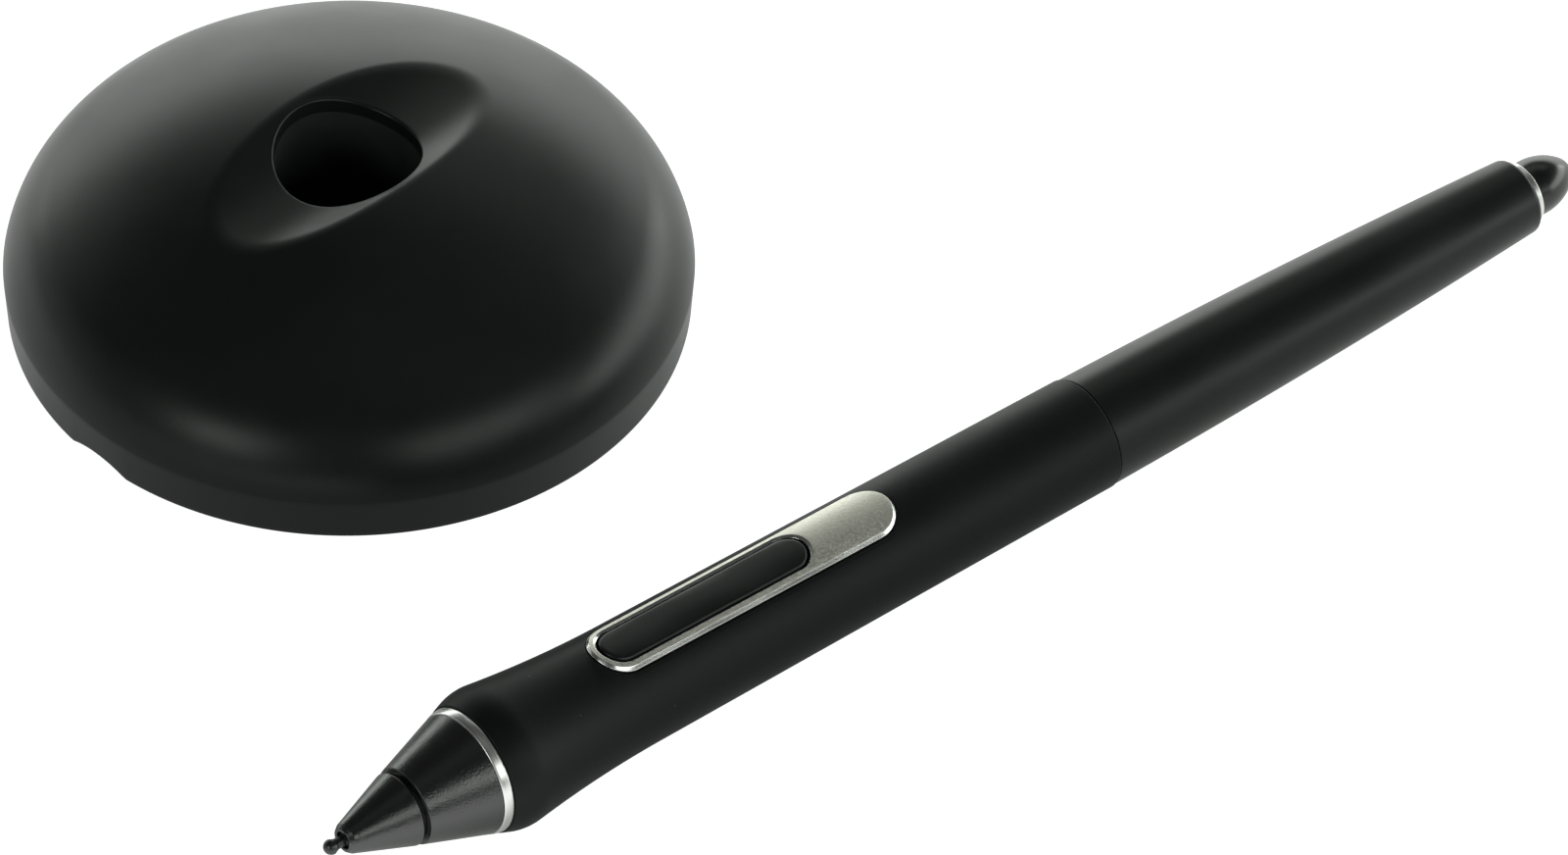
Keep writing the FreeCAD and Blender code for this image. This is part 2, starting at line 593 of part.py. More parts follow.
def make_front_sensing():
    """Ferrite core, coil, holder, nib chuck, spring and pressure sensor behind the nose."""
    core = tube("ferrite_core_turned", "Dim.core_bore", "Dim.core_radius", "Dim.core_start",
                "Dim.core_end")
    keep(core, "ferrite_core", PEN)
    coil = tube("antenna_coil_turned", "Dim.core_radius + Dim.slide_gap", "Dim.coil_radius",
                "Dim.coil_start", "Dim.coil_end")
    keep(coil, "antenna_coil", PEN)

    holder = turned("core_holder_turned", [
        ("Dim.core_radius + Dim.slide_gap", "Dim.holder_start"),
        (CONE_BORE + " - Dim.holder_gap", "Dim.holder_start"),
        (CONE_BORE + " - Dim.holder_gap", "Dim.holder_end"),
        ("Dim.holder_chamber", "Dim.holder_end"),
        ("Dim.holder_chamber", "Dim.nib_length - Dim.holder_stop"),
        ("Dim.chuck_radius + 0.15", "Dim.nib_length - Dim.holder_stop"),
        ("Dim.chuck_radius + 0.15", "Dim.core_end + 0.1"),
        ("Dim.core_radius + Dim.slide_gap", "Dim.core_end + 0.1"),
    ])
    keep(holder, "core_holder", PEN)

    grip_from = "Dim.nib_length - Dim.nib_hold"
    flange = "Dim.nib_length"
    back = "(%s) + Dim.chuck_flange" % flange
    bore = "Dim.nib_shaft_radius + Dim.fit_gap"
    chuck = turned("nib_holder_turned", [
        (bore, grip_from),
        ("Dim.chuck_radius", grip_from),
        ("Dim.chuck_radius", flange),
        ("Dim.chuck_flange_radius", flange),
        ("Dim.chuck_flange_radius", back),
        ("Dim.chuck_rod_radius", back),
        ("Dim.chuck_rod_radius", "%s + Dim.chuck_rod_length" % back),
        (0, "%s + Dim.chuck_rod_length" % back),
        (0, "Dim.nib_length + Dim.face_gap"),
        (bore, "Dim.nib_length + Dim.face_gap"),
    ])
    keep(chuck, "nib_holder", PEN)

    spring_from = amount("%s + Dim.nib_travel + Dim.spring_wire + 0.05" % back)
    spring_to = amount("Dim.sensor_front - Dim.spring_wire - 0.02")
    turns = dim("spring_turns")
    helix = Part.makeHelix((spring_to - spring_from) / turns, spring_to - spring_from,
                           dim("spring_radius"))
    half_wire = dim("spring_wire")
    corners = [FreeCAD.Vector(dim("spring_radius") + across * half_wire, 0, along * half_wire)
               for across, along in ((-1, -1), (1, -1), (1, 1), (-1, 1), (-1, -1))]
    section = Part.makePolygon(corners)
    spring = doc.addObject("Part::Feature", "nib_spring_wound")
    spring.Shape = Part.Wire(helix).makePipeShell([section], True, True)
    keep(spring, "nib_spring", PEN * FreeCAD.Placement(FreeCAD.Vector(0, 0, spring_from),
                                                       FreeCAD.Rotation()))

    sensor = turned("pressure_sensor_turned", [
        ("Dim.chuck_rod_radius + 0.1", "Dim.sensor_front"),
        (SENSOR_RADIUS, "Dim.sensor_front"),
        (SENSOR_RADIUS, "Dim.sensor_back"),
        (0, "Dim.sensor_back"),
        (0, "Dim.sensor_front + Dim.sensor_bore_depth"),
        ("Dim.chuck_rod_radius + 0.1", "Dim.sensor_front + Dim.sensor_bore_depth"),
    ])
    keep(sensor, "pressure_sensor", PEN)


# ---------------------------------------------------------------------------------------------
# Pen: grip, housings and tail
# ---------------------------------------------------------------------------------------------

def make_front_housing():
    """Stiff tube below the grip, with a window for the switch and a spigot for the barrel."""
    start = GRIP_START
    spigot = "Dim.grip_end + Dim.housing_spigot_length"
    step = "Dim.cone_end + Dim.cone_spigot_length + Dim.slide_gap"
    shell = turned("front_housing_turned", [
        (CONE_SPIGOT + " + Dim.fit_gap", start),
        (HOUSING_RADIUS, start),
        (HOUSING_RADIUS, "Dim.grip_end"),
        (HOUSING_SPIGOT, "Dim.grip_end"),
        (HOUSING_SPIGOT, spigot),
        (HOUSING_BORE, spigot),
        (HOUSING_BORE, step),
        (CONE_SPIGOT + " + Dim.fit_gap", step),
    ])
    window = block("switch_window",
                   (0, "-%s - Dim.slide_gap" % FRAME_HALF, "Dim.frame_start - Dim.window_gap"),
                   (FLARE_RADIUS, "2 * (%s + Dim.slide_gap)" % FRAME_HALF,
                    "Dim.frame_end - Dim.frame_start + 2 * Dim.window_gap"))
    keep(cut("front_housing_cut", shell, window), "front_housing", PEN)


def make_grip():
    """Rubber sleeve: rounded flare at the front, hollow waist, then a gentle taper."""
    inside = HOUSING_RADIUS + " + Dim.fit_gap"
    sleeve = turned("grip_sleeve_turned", [
        (inside, GRIP_START),
        ("Dim.grip_end_radius + Dim.grip_lip_rise", GRIP_START),
        ("Dim.grip_end_radius + Dim.flare_start_rise", "Dim.flare_start", "Dim.flare_crest",
         CONVEX),
        ("Dim.grip_end_radius + Dim.flare_end_rise", "Dim.flare_end", "Dim.waist_hollow", HOLLOW),
        (WAIST_RADIUS, "Dim.waist_z"),
        ("Dim.grip_end_radius", "Dim.grip_end"),
        (inside, "Dim.grip_end"),
    ])
    opening = slot_prism("grip_opening", "Dim.bezel_half + Dim.slide_gap",
                         "Dim.bezel_start - Dim.slide_gap", "Dim.bezel_end + Dim.slide_gap",
                         "0", FLARE_RADIUS + " + 1")
    keep(cut("grip_sleeve_cut", sleeve, opening), "grip_sleeve", PEN)


def make_rear_barrel():
    """Bowed, tapering barrel with a rounded back edge."""
    start = "Dim.grip_end + Dim.face_gap"
    spigot_bore = HOUSING_SPIGOT + " + Dim.slide_gap"
    spigot_end = "Dim.grip_end + Dim.housing_spigot_length + 0.9"
    body = turned("rear_barrel_turned", [
        (spigot_bore, start),
        (BARREL_FRONT, start, "Dim.barrel_bow", CONVEX),
        ("Dim.barrel_back_radius", BARREL_END),
        ("Dim.tail_ring_radius + Dim.fit_gap", BARREL_END),
        ("Dim.tail_ring_radius + Dim.fit_gap", END_WALL),
        ("Dim.barrel_bore", END_WALL),
        ("Dim.barrel_bore", END_WALL + " - Dim.eraser_bay"),
        (BARREL_FRONT_BORE, END_WALL + " - Dim.eraser_bay - 1"),
        (BARREL_FRONT_BORE, spigot_end),
        (spigot_bore, spigot_end),
    ])
    rounded(body, "Dim.barrel_back_radius", BARREL_END, "Dim.barrel_edge")
    keep(body, "rear_barrel", PEN)


def make_tail():
    """Bright ferrule, the eraser that presses in, and the sensing parts in front of it."""
    ring = tube("tail_ring_turned", "Dim.tail_ring_bore", "Dim.tail_ring_radius",
                "%s + 0.2" % END_WALL, BARREL_END + " + Dim.tail_ring_show")
    keep(ring, "tail_ring", PEN)

    tip_radius = ("((Dim.eraser_radius - Dim.eraser_side * (1 - cos(Dim.eraser_turn)))"
                  " / cos(Dim.eraser_turn))")
    side_end_radius = "%s * cos(Dim.eraser_turn)" % tip_radius
    side_end = "Dim.pen_length - %s * (1 - sin(Dim.eraser_turn))" % tip_radius
    side_start = "%s - Dim.eraser_side * sin(Dim.eraser_turn)" % side_end
    flange_back = "%s - 0.8" % END_WALL
    flange_front = "%s - Dim.eraser_flange" % flange_back
    stem_front = "%s - Dim.eraser_stem_length" % flange_front
    eraser = turned("eraser_cap_turned", [
        (0, stem_front),
        ("Dim.eraser_stem_radius", stem_front),
        ("Dim.eraser_stem_radius", flange_front),
        ("Dim.eraser_flange_radius", flange_front),
        ("Dim.eraser_flange_radius", flange_back),
        ("Dim.eraser_radius", flange_back),
        ("Dim.eraser_radius", side_start, "Dim.eraser_side", CONVEX),
        (side_end_radius, side_end, tip_radius, CONVEX),
        (0, "Dim.pen_length"),
    ])
    keep(eraser, "eraser_cap", PEN)

    carrier_back = "%s - Dim.eraser_travel - 0.6" % flange_front
    carrier_floor = "%s - Dim.carrier_floor" % carrier_back
    carrier_front = "%s - Dim.eraser_core_length - 2.4" % carrier_floor
    carrier_radius = "Dim.barrel_bore - Dim.slide_gap"
    carrier_inside = "Dim.barrel_bore - Dim.slide_gap - Dim.carrier_wall"
    carrier = turned("eraser_carrier_turned", [
        (carrier_inside, carrier_front),
        (carrier_radius, carrier_front),
        (carrier_radius, carrier_back),
        ("Dim.eraser_stem_radius + 0.25", carrier_back),
        ("Dim.eraser_stem_radius + 0.25", carrier_floor),
        (carrier_inside, carrier_floor),
    ])
    keep(carrier, "eraser_carrier", PEN)

    core_back = "%s - Dim.slide_gap" % carrier_floor
    core_front = "%s - Dim.eraser_core_length" % core_back
    core = tube("eraser_core_turned", "Dim.eraser_stem_radius + 0.2", "Dim.eraser_core_radius",
                core_front, core_back)
    keep(core, "eraser_core", PEN)
    coil_front = "%s + (Dim.eraser_core_length - Dim.eraser_coil_length) / 2" % core_front
    coil = tube("eraser_coil_turned", "Dim.eraser_core_radius + Dim.slide_gap",
                "Dim.eraser_coil_radius", coil_front, "%s + Dim.eraser_coil_length" % coil_front)
    keep(coil, "eraser_coil", PEN)

    face = "%s - Dim.face_gap" % carrier_front
    button = "%s + Dim.sensor_button" % face
    sensor = turned("eraser_sensor_turned", [
        (0, "%s - Dim.sensor_length" % face),
        (carrier_radius, "%s - Dim.sensor_length" % face),
        (carrier_radius, face),
        ("Dim.eraser_stem_radius", face),
        ("Dim.eraser_stem_radius", button),
        (0, button),
    ])
    keep(sensor, "eraser_sensor", PEN)


# ---------------------------------------------------------------------------------------------
# Pen: chassis, board and rocker switch
# ---------------------------------------------------------------------------------------------

SCREWS = ("Dim.board_screw_front", "Dim.board_screw_back")


def make_chassis():
    """Half-round chassis, the board on its flat, two screws and the board's components."""
    round_part = rod("chassis_round", HOUSING_BORE + " - Dim.slide_gap",
                     "Dim.chassis_end - Dim.chassis_start", (0, 0, "Dim.chassis_start"))
    lower = block("chassis_half",
                  ("-" + FLARE_RADIUS, "-" + FLARE_RADIUS, "Dim.chassis_start"),
                  (FLARE_RADIUS + " + Dim.chassis_flat", "2 * " + FLARE_RADIUS,
                   "Dim.chassis_end - Dim.chassis_start"))
    half = common("chassis_half_round", round_part, lower)
    holes = [rod("chassis_hole_%d" % index, "Dim.board_screw_radius", "4 * Dim.board_thick",
                 ("Dim.chassis_flat - 3 * Dim.board_thick", 0, place), "x")
             for index, place in enumerate(SCREWS)]
    keep(cut("chassis_cut", half, group("chassis_holes", holes)), "chassis", PEN)

    board = block("board_blank",
                  ("Dim.chassis_flat", "-Dim.board_width / 2",
                   "Dim.chassis_start + Dim.board_margin"),
                  ("Dim.board_thick", "Dim.board_width",
                   "Dim.chassis_end - Dim.chassis_start - 2 * Dim.board_margin"))
    holes = [rod("board_hole_%d" % index, "Dim.board_screw_radius + Dim.slide_gap",
                 "4 * Dim.board_thick", ("Dim.chassis_flat - Dim.board_thick", 0, place), "x")
             for index, place in enumerate(SCREWS)]
    keep(cut("circuit_board_cut", board, group("board_holes", holes)), "circuit_board", PEN)

    screws = []
    for index, place in enumerate(SCREWS):
        shank = rod("board_shank_%d" % index, "Dim.board_screw_radius",
                    "3 * Dim.board_thick", ("Dim.chassis_flat - 2 * Dim.board_thick", 0, place),
                    "x")
        head = rod("board_head_%d" % index, "Dim.board_screw_head", "Dim.board_screw_radius",
                   (BOARD_FACE, 0, place), "x")
        screws.append(joined("board_screw_%d" % index, [shank, head]))
    keep(group("board_screws_group", screws), "board_screws", PEN)

    # (z after the front screw, y, length along z, width, height) of each soldered component
    chips = [(3.0, -2.0, 4.0, 4.0, 0.9), (9.0, -2.9, 1.6, 0.8, 0.5), (9.0, -1.4, 1.6, 0.8, 0.5),
             (9.0, 0.6, 1.6, 0.8, 0.5), (12.5, -1.6, 3.2, 2.5, 1.0), (17.5, -2.6, 2.0, 1.2, 0.8),
             (17.5, 0.8, 2.0, 1.2, 0.8), (21.0, -1.0, 4.6, 1.9, 1.3)]
    solids = [block("component_%d" % index,
                    (BOARD_FACE, across, "Dim.board_screw_front + %g" % along),
                    (tall, wide, long))
              for index, (along, across, long, wide, tall) in enumerate(chips)]
    keep(group("board_components_group", solids), "board_components", PEN)


def make_switches():
    """Two tact switches below the ends of the rocker, and the frame that holds its pin."""
    switches = []
    for index, sign in enumerate((-1, 1)):
        middle = "(Dim.pivot_z + %d * Dim.foot_reach)" % sign
        body = block("tact_body_%d" % index,
                     (BOARD_FACE, "-Dim.tact_half", "%s - Dim.tact_half" % middle),
                     ("Dim.tact_height", "2 * Dim.tact_half", "2 * Dim.tact_half"))
        plunger = rod("tact_plunger_%d" % index, "Dim.tact_half / 2",
                      "Dim.tact_height + Dim.tact_plunger", (BOARD_FACE, 0, middle), "x")
        switches.append(joined("tact_switch_%d" % index, [body, plunger]))
    keep(group("tact_switches_group", switches), "tact_switches", PEN)

    height = "%s - %s - Dim.slide_gap" % (FRAME_TOP, BOARD_FACE)
    low = "%s + Dim.slide_gap" % BOARD_FACE
    outside = block("frame_outside", (low, "-" + FRAME_HALF, "Dim.frame_start"),
                    (height, "2 * " + FRAME_HALF, "Dim.frame_end - Dim.frame_start"))
    inside = block("frame_inside",
                   (0, "-%s" % FRAME_INSIDE, "Dim.frame_start + Dim.frame_wall"),
                   (FLARE_RADIUS, "2 * %s" % FRAME_INSIDE,
                    "Dim.frame_end - Dim.frame_start - 2 * Dim.frame_wall"))
    hole = rod("frame_pin_hole", "Dim.pin_radius", "4 * " + FRAME_HALF,
               (PIVOT_X, "-2 * " + FRAME_HALF, "Dim.pivot_z"), "y")
    frame = cut("frame_with_hole", cut("frame_open", outside, inside), hole)
    keep(frame, "switch_frame", PEN)
    pin = rod("pin_rod", "Dim.pin_radius", "2 * (%s - Dim.slide_gap)" % FRAME_HALF,
              (PIVOT_X, "-%s + Dim.slide_gap" % FRAME_HALF, "Dim.pivot_z"), "y")
    keep(group("rocker_pin_group", [pin]), "rocker_pin", PEN)


def make_crown(name, drop):
    """Turned solid under the slightly conical top of the switch, lowered by drop."""
    return turned(name, [
        (HOUSING_RADIUS + " + Dim.slide_gap", "Dim.bezel_start - 1"),
        ("%s - %s" % (BEZEL_FRONT, drop), "Dim.bezel_start - 1"),
        ("%s - %s" % (BEZEL_BACK, drop), "Dim.bezel_end + 1"),
        (HOUSING_RADIUS + " + Dim.slide_gap", "Dim.bezel_end + 1"),
    ])


def make_rocker():
    """Bezel, rocker button on its pin and the plate behind it."""
    top = FLARE_RADIUS + " + 1"
    outer = slot_prism("bezel_outer", "Dim.bezel_half", "Dim.bezel_start", "Dim.bezel_end",
                       "%s + Dim.slide_gap" % FRAME_TOP, top)
    opening = slot_prism("bezel_opening", BEZEL_OPENING,
                         "Dim.bezel_start + Dim.bezel_rim", "Dim.bezel_end - Dim.bezel_rim",
                         "0", top)
    full = common("bezel_full", make_crown("bezel_crown", "0"), outer)
    keep(cut("bezel_cut", full, opening), "switch_bezel", PEN)

    start = "(Dim.bezel_start + Dim.bezel_rim + 2 * Dim.button_gap)"
    pad = common("rocker_pad_top",
                 slot_prism("rocker_pad", ROCKER_HALF, start, "Dim.rocker_end", ROCKER_FLOOR, top),
                 make_crown("rocker_crown", "Dim.rocker_drop"))
    inner_half = "min(%s - 0.4; %s)" % (FRAME_INSIDE, ROCKER_HALF)
    stem = block("rocker_stem",
                 (PIVOT_X + " + Dim.pin_radius + 0.25", "-%s" % inner_half,
                  "Dim.pivot_z - Dim.foot_reach - 1"),
                 ("%s - %s - Dim.pin_radius" % (ROCKER_FLOOR, PIVOT_X), "2 * %s" % inner_half,
                  "2 * Dim.foot_reach + 2"))
    lug = block("rocker_lug",
                (PIVOT_X + " - Dim.pin_radius - 0.3", "-%s" % inner_half, "Dim.pivot_z - 1"),
                ("%s - %s" % (ROCKER_FLOOR, PIVOT_X), "2 * %s" % inner_half, 2))
    foot_low = "%s + Dim.tact_height + Dim.tact_plunger + Dim.foot_gap" % BOARD_FACE
    feet = [block("rocker_foot_%d" % index,
                  (foot_low, -0.6, "Dim.pivot_z + %d * Dim.foot_reach - 0.6" % sign),
                  ("%s - (%s)" % (ROCKER_FLOOR, foot_low), 1.2, 1.2))
            for index, sign in enumerate((-1, 1))]
    whole = joined("rocker_whole", [pad, stem, lug] + feet)
    hole = rod("rocker_pin_hole", "Dim.pin_radius + Dim.slide_gap", "4 * " + FRAME_HALF,
               (PIVOT_X, "-2 * " + FRAME_HALF, "Dim.pivot_z"), "y")
    keep(cut("rocker_cut", whole, hole), "rocker_button", PEN)

    plate_half = "(%s - Dim.fit_gap)" % BEZEL_OPENING
    plate_end = "(Dim.bezel_end - Dim.bezel_rim - Dim.fit_gap)"
    plate = common("plate_top",
                   slot_prism("plate_slot", plate_half, "Dim.bezel_start + Dim.bezel_rim",
                              plate_end, "0", top),
                   make_crown("plate_crown", "Dim.plate_drop"))
    recess = slot_prism("plate_recess", BEZEL_OPENING, "Dim.bezel_start + Dim.bezel_rim / 2",
                        "Dim.rocker_end + 2 * Dim.button_gap", "0", top)
    keep(cut("plate_cut", plate, recess), "switch_plate", PEN)


# ---------------------------------------------------------------------------------------------
# Stand
# ---------------------------------------------------------------------------------------------

def make_stand_top():
    """Domed top shell with the socket tube, the trough across it, a notch and bayonet lugs."""
    ceiling = "(%s - Dim.trough_floor)" % TROUGH_BOTTOM
    ceiling_x = "sqrt(%s ^ 2 - (%s - %s) ^ 2)" % (INNER_CROWN, ceiling, CROWN_CENTRE)
    rim = "%s + sqrt(%s ^ 2 - Dim.socket_radius ^ 2)" % (CROWN_CENTRE, CROWN_RADIUS)
    shell = turned("stand_top_turned", [
        (INNER_WALL, "Dim.skirt_lift"),
        ("Dim.stand_radius - Dim.skirt_draft", "Dim.skirt_lift"),
        ("Dim.stand_radius", "Dim.wall_top", "Dim.edge_radius", CONVEX),
        (BREAK_X, BREAK_Z, "Dim.shoulder_radius", CONVEX),
        (CROWN_X, CROWN_Z, CROWN_RADIUS, CONVEX),
        ("Dim.socket_radius", rim),
        ("Dim.socket_radius", "Dim.socket_bottom"),
        (SOCKET_OUTSIDE, "Dim.socket_bottom"),
        (SOCKET_OUTSIDE, ceiling),
        (ceiling_x, ceiling, INNER_CROWN, HOLLOW),
        ("%s + %s * cos(Dim.crown_angle)" % (SHOULDER_X, INNER_SHOULDER),
         "%s + %s * sin(Dim.crown_angle)" % (SHOULDER_Z, INNER_SHOULDER),
         INNER_SHOULDER, HOLLOW),
        (INNER_WALL, SHOULDER_Z),
    ])
    heading = math.radians(dim("trough_turn"))
    along = FreeCAD.Vector(math.cos(heading), math.sin(heading), 0)
    trough = doc.addObject("Part::Cylinder", "trough")
    trough.setExpression("Radius", "Dim.trough_radius")
    trough.setExpression("Height", "4 * Dim.stand_radius")
    trough.Placement = FreeCAD.Placement(
        along * (-2 * dim("stand_radius"))
        + FreeCAD.Vector(0, 0, amount(TROUGH_BOTTOM) + dim("trough_radius")),
        FreeCAD.Rotation(FreeCAD.Vector(0, 0, 1), along))
    notch_radius = "(Dim.notch_width ^ 2 / 4 + Dim.notch_height ^ 2) / (2 * Dim.notch_height)"
    toward = math.radians(dim("notch_turn"))
    outward = FreeCAD.Vector(math.cos(toward), math.sin(toward), 0)
    notch = doc.addObject("Part::Cylinder", "notch")
    notch.setExpression("Radius", notch_radius)
    notch.setExpression("Height", "Dim.stand_radius + 2 - " + BASE_RADIUS)
    notch.Placement = FreeCAD.Placement(
        outward * amount(BASE_RADIUS) + FreeCAD.Vector(
            0, 0, dim("skirt_lift") + dim("notch_height") - amount(notch_radius)),
        FreeCAD.Rotation(FreeCAD.Vector(0, 0, 1), outward))
    hollowed = cut("stand_top_notched", cut("stand_top_trough", shell, trough), notch)
    lugs = [wedge_ring("top_lug_%d" % index, COLLAR_RADIUS + " + Dim.top_lug_gap",
                       INNER_WALL + " + 0.3", "Dim.top_lug_bottom",
                       "Dim.top_lug_height", "Dim.lug_offset + %g" % (index * 360 / LUGS))
            for index in range(LUGS)]
    keep(joined("stand_top_whole", [hollowed] + lugs), "stand_top")


def around(circle, angle):
    """Row x and y formulas of a point on a circle, with the angle in degrees."""
    return "%s * cos(%s)" % (circle, angle), "%s * sin(%s)" % (circle, angle)


def make_stand_base():
    """Rubber foot, base plate with its collar, and the nib remover set in it."""
    foot = rod("foot_disc", BASE_RADIUS + " - Dim.foot_inset", "Dim.foot_thick", (0, 0, 0))
    remover_x, remover_y = around("Dim.remover_circle", "Dim.remover_turn")
    access = rod("foot_access", "Dim.remover_access", "3 * Dim.foot_thick",
                 (remover_x, remover_y, "-Dim.foot_thick"))
    keep(cut("stand_foot_cut", foot, access), "stand_foot")

    well = "%s - Dim.well_depth" % BASE_FACE
    plate = turned("stand_base_turned", [
        (0, "Dim.foot_thick"),
        (BASE_RADIUS, "Dim.foot_thick"),
        (BASE_RADIUS, BASE_FACE),
        (COLLAR_RADIUS, BASE_FACE),
        (COLLAR_RADIUS, "Dim.collar_top"),
        (COLLAR_BORE, "Dim.collar_top"),
        (COLLAR_BORE, BASE_FACE),
        ("Dim.well_radius", BASE_FACE),
        ("Dim.well_radius", well),
        (0, well),
    ])
    lugs = [wedge_ring("collar_lug_%d" % index, COLLAR_RADIUS + " - 0.2",
                       COLLAR_RADIUS + " + Dim.collar_lug_reach", "Dim.collar_lug_bottom",
                       "Dim.collar_lug_height", "%g" % (index * 360 / LUGS))
            for index in range(LUGS)]
    bosses = []
    holes = []
    for index in range(SIDES):
        x, y = around(SCREW_CIRCLE, "%g" % ((index + 0.5) * 360 / SIDES))
        bosses.append(rod("boss_%d" % index, "Dim.boss_radius", "Dim.weight_thick",
                          (x, y, "%s - 0.2" % BASE_FACE)))
        holes.append(rod("boss_hole_%d" % index, "Dim.screw_radius", "2 * Dim.weight_thick",
                         (x, y, BASE_FACE)))
    pocket = rod("remover_pocket", "Dim.remover_radius + Dim.fit_gap", "4 * Dim.base_thick",
                 (remover_x, remover_y, 0))
    whole = joined("stand_base_whole", [plate] + lugs + bosses)
    keep(cut("stand_base_cut", whole, group("base_holes", holes + [pocket])), "stand_base")

    disc = rod("remover_disc", "Dim.remover_radius", "Dim.base_thick",
               (remover_x, remover_y, "Dim.foot_thick"))
    bore = rod("remover_hole", "Dim.remover_bore", "4 * Dim.base_thick",
               (remover_x, remover_y, 0))
    keep(cut("nib_remover_cut", disc, bore), "nib_remover")
    ring = tube("twist_ring_turned", COLLAR_BORE + " + 0.1", COLLAR_RADIUS + " - 0.1",
                "Dim.collar_top", "Dim.collar_top + Dim.twist_ring_thick")
    keep(ring, "twist_ring")


def make_stand_inside():
    """Steel weight, nib tray with its grooves, screws and the spare nibs."""
    weight_low = "%s + Dim.layer_gap" % BASE_FACE
    weight_high = "%s + Dim.weight_thick" % weight_low
    tray_low = "%s + Dim.layer_gap" % weight_high
    tray_high = "%s + Dim.tray_thick" % tray_low
    remover_x, remover_y = around("Dim.remover_circle", "Dim.remover_turn")
    disc = tube("weight_turned", TRAY_BORE, TRAY_RADIUS, weight_low, weight_high)
    tray = tube("tray_turned", TRAY_BORE, TRAY_RADIUS, tray_low, tray_high)
    weight_holes = [rod("weight_relief", "Dim.nib_tip_radius * 2", "4 * Dim.weight_thick",
                        (remover_x, remover_y, 0))]
    tray_holes = []
    screws = []
    for index in range(SIDES):
        x, y = around(SCREW_CIRCLE, "%g" % ((index + 0.5) * 360 / SIDES))
        weight_holes.append(rod("weight_hole_%d" % index, "Dim.boss_radius + Dim.boss_gap",
                                "4 * Dim.weight_thick", (x, y, 0)))
        tray_holes.append(rod("tray_hole_%d" % index, "Dim.screw_radius + Dim.slide_gap",
                              "4 * Dim.weight_thick", (x, y, 0)))
        shank = rod("tray_shank_%d" % index, "Dim.screw_radius",
                    "%s - (%s) - Dim.layer_gap" % (tray_high, weight_low),
                    (x, y, "%s + Dim.layer_gap" % weight_low))
        head = rod("tray_head_%d" % index, "Dim.screw_head_radius", "Dim.screw_head_height",
                   (x, y, tray_high))
        screws.append(joined("tray_screw_%d" % index, [shank, head]))
    keep(cut("stand_weight_cut", disc, group("weight_holes", weight_holes)), "stand_weight")
    keep(group("tray_screws_group", screws), "tray_screws")

    height = amount("%s + Dim.nib_rise" % tray_high)
    shaft = dim("nib_length") - dim("nib_tip_radius")
    standard = []
    felt = []
    for side in range(SIDES):
        for line, row in enumerate(NIB_ROWS):
            label = "%d_%d" % (side, line)
            angle = math.radians(side * 360 / SIDES)
            radial = FreeCAD.Vector(math.cos(angle), math.sin(angle), 0)
            tangent = FreeCAD.Vector(-math.sin(angle), math.cos(angle), 0)
            turn = FreeCAD.Rotation(FreeCAD.Vector(0, 0, 1), tangent)
            point = radial * amount(row) - tangent * dim("nib_length") / 2
            point = point + FreeCAD.Vector(0, 0, height)
            ball_middle = point + tangent * dim("nib_tip_radius")
            groove = doc.addObject("Part::Cylinder", "groove_" + label)
            groove.setExpression("Radius",
                                 "max(Dim.nib_tip_radius; Dim.nib_shaft_radius) + Dim.slide_gap")
            groove.setExpression("Height", "Dim.nib_length + 1")
            groove.Placement = FreeCAD.Placement(point - tangent * 0.5, turn)
            tray_holes.append(groove)
            ball = doc.addObject("Part::Sphere", "spare_ball_" + label)
            ball.setExpression("Radius", "Dim.nib_tip_radius")
            ball.Placement = FreeCAD.Placement(ball_middle, turn)
            stick = doc.addObject("Part::Cylinder", "spare_shaft_" + label)
            stick.setExpression("Radius", "Dim.nib_shaft_radius")
            stick.setExpression("Height", "Dim.nib_length - Dim.nib_tip_radius")
            stick.Placement = FreeCAD.Placement(ball_middle, turn)
            spare = joined("spare_" + label, [ball, stick])
            (standard if side < STANDARD_GROUPS else felt).append(spare)
    keep(cut("nib_tray_cut", tray, group("tray_cuts", tray_holes)), "nib_tray")
    keep(group("spare_nibs_standard_group", standard), "spare_nibs_standard")
    keep(group("spare_nibs_felt_group", felt), "spare_nibs_felt")


# ---------------------------------------------------------------------------------------------
# Build, check and export
# ---------------------------------------------------------------------------------------------

make_nib()
make_nose()
make_front_sensing()
make_front_housing()
make_grip()
make_rear_barrel()
make_tail()
make_chassis()
make_switches()
make_rocker()
make_stand_top()
make_stand_base()
make_stand_inside()
doc.recompute()

faults = []
for thing in doc.Objects:
    if "Invalid" in thing.State or "Error" in thing.State:
        faults.append("%s: %s" % (thing.Name, thing.State))
for thing in kept:
    if thing.Shape.isNull() or not thing.Shape.isValid() or not thing.Shape.Solids:
        faults.append("%s: its shape is null or not valid" % thing.Label)
if faults:
    raise RuntimeError("; ".join(faults))

os.makedirs("parts", exist_ok=True)
for thing in kept:
    thing.Shape.exportStep("parts/%s.step" % thing.Label)
    print("%-22s %3d solid(s) %10.2f mm3" % (thing.Label, len(thing.Shape.Solids),
                                             thing.Shape.Volume))
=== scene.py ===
"""Drawing pen and its round stand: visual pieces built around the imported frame.

Everything is in metres, in the shared frame: the origin is on the table at the stand's centre,
+Z is up and +X runs along the lying pen from its nib to its tail.  Pen pieces are worked out in
the pen's own frame, where z runs along the barrel from the nib's point and +x is the switch
side.
"""

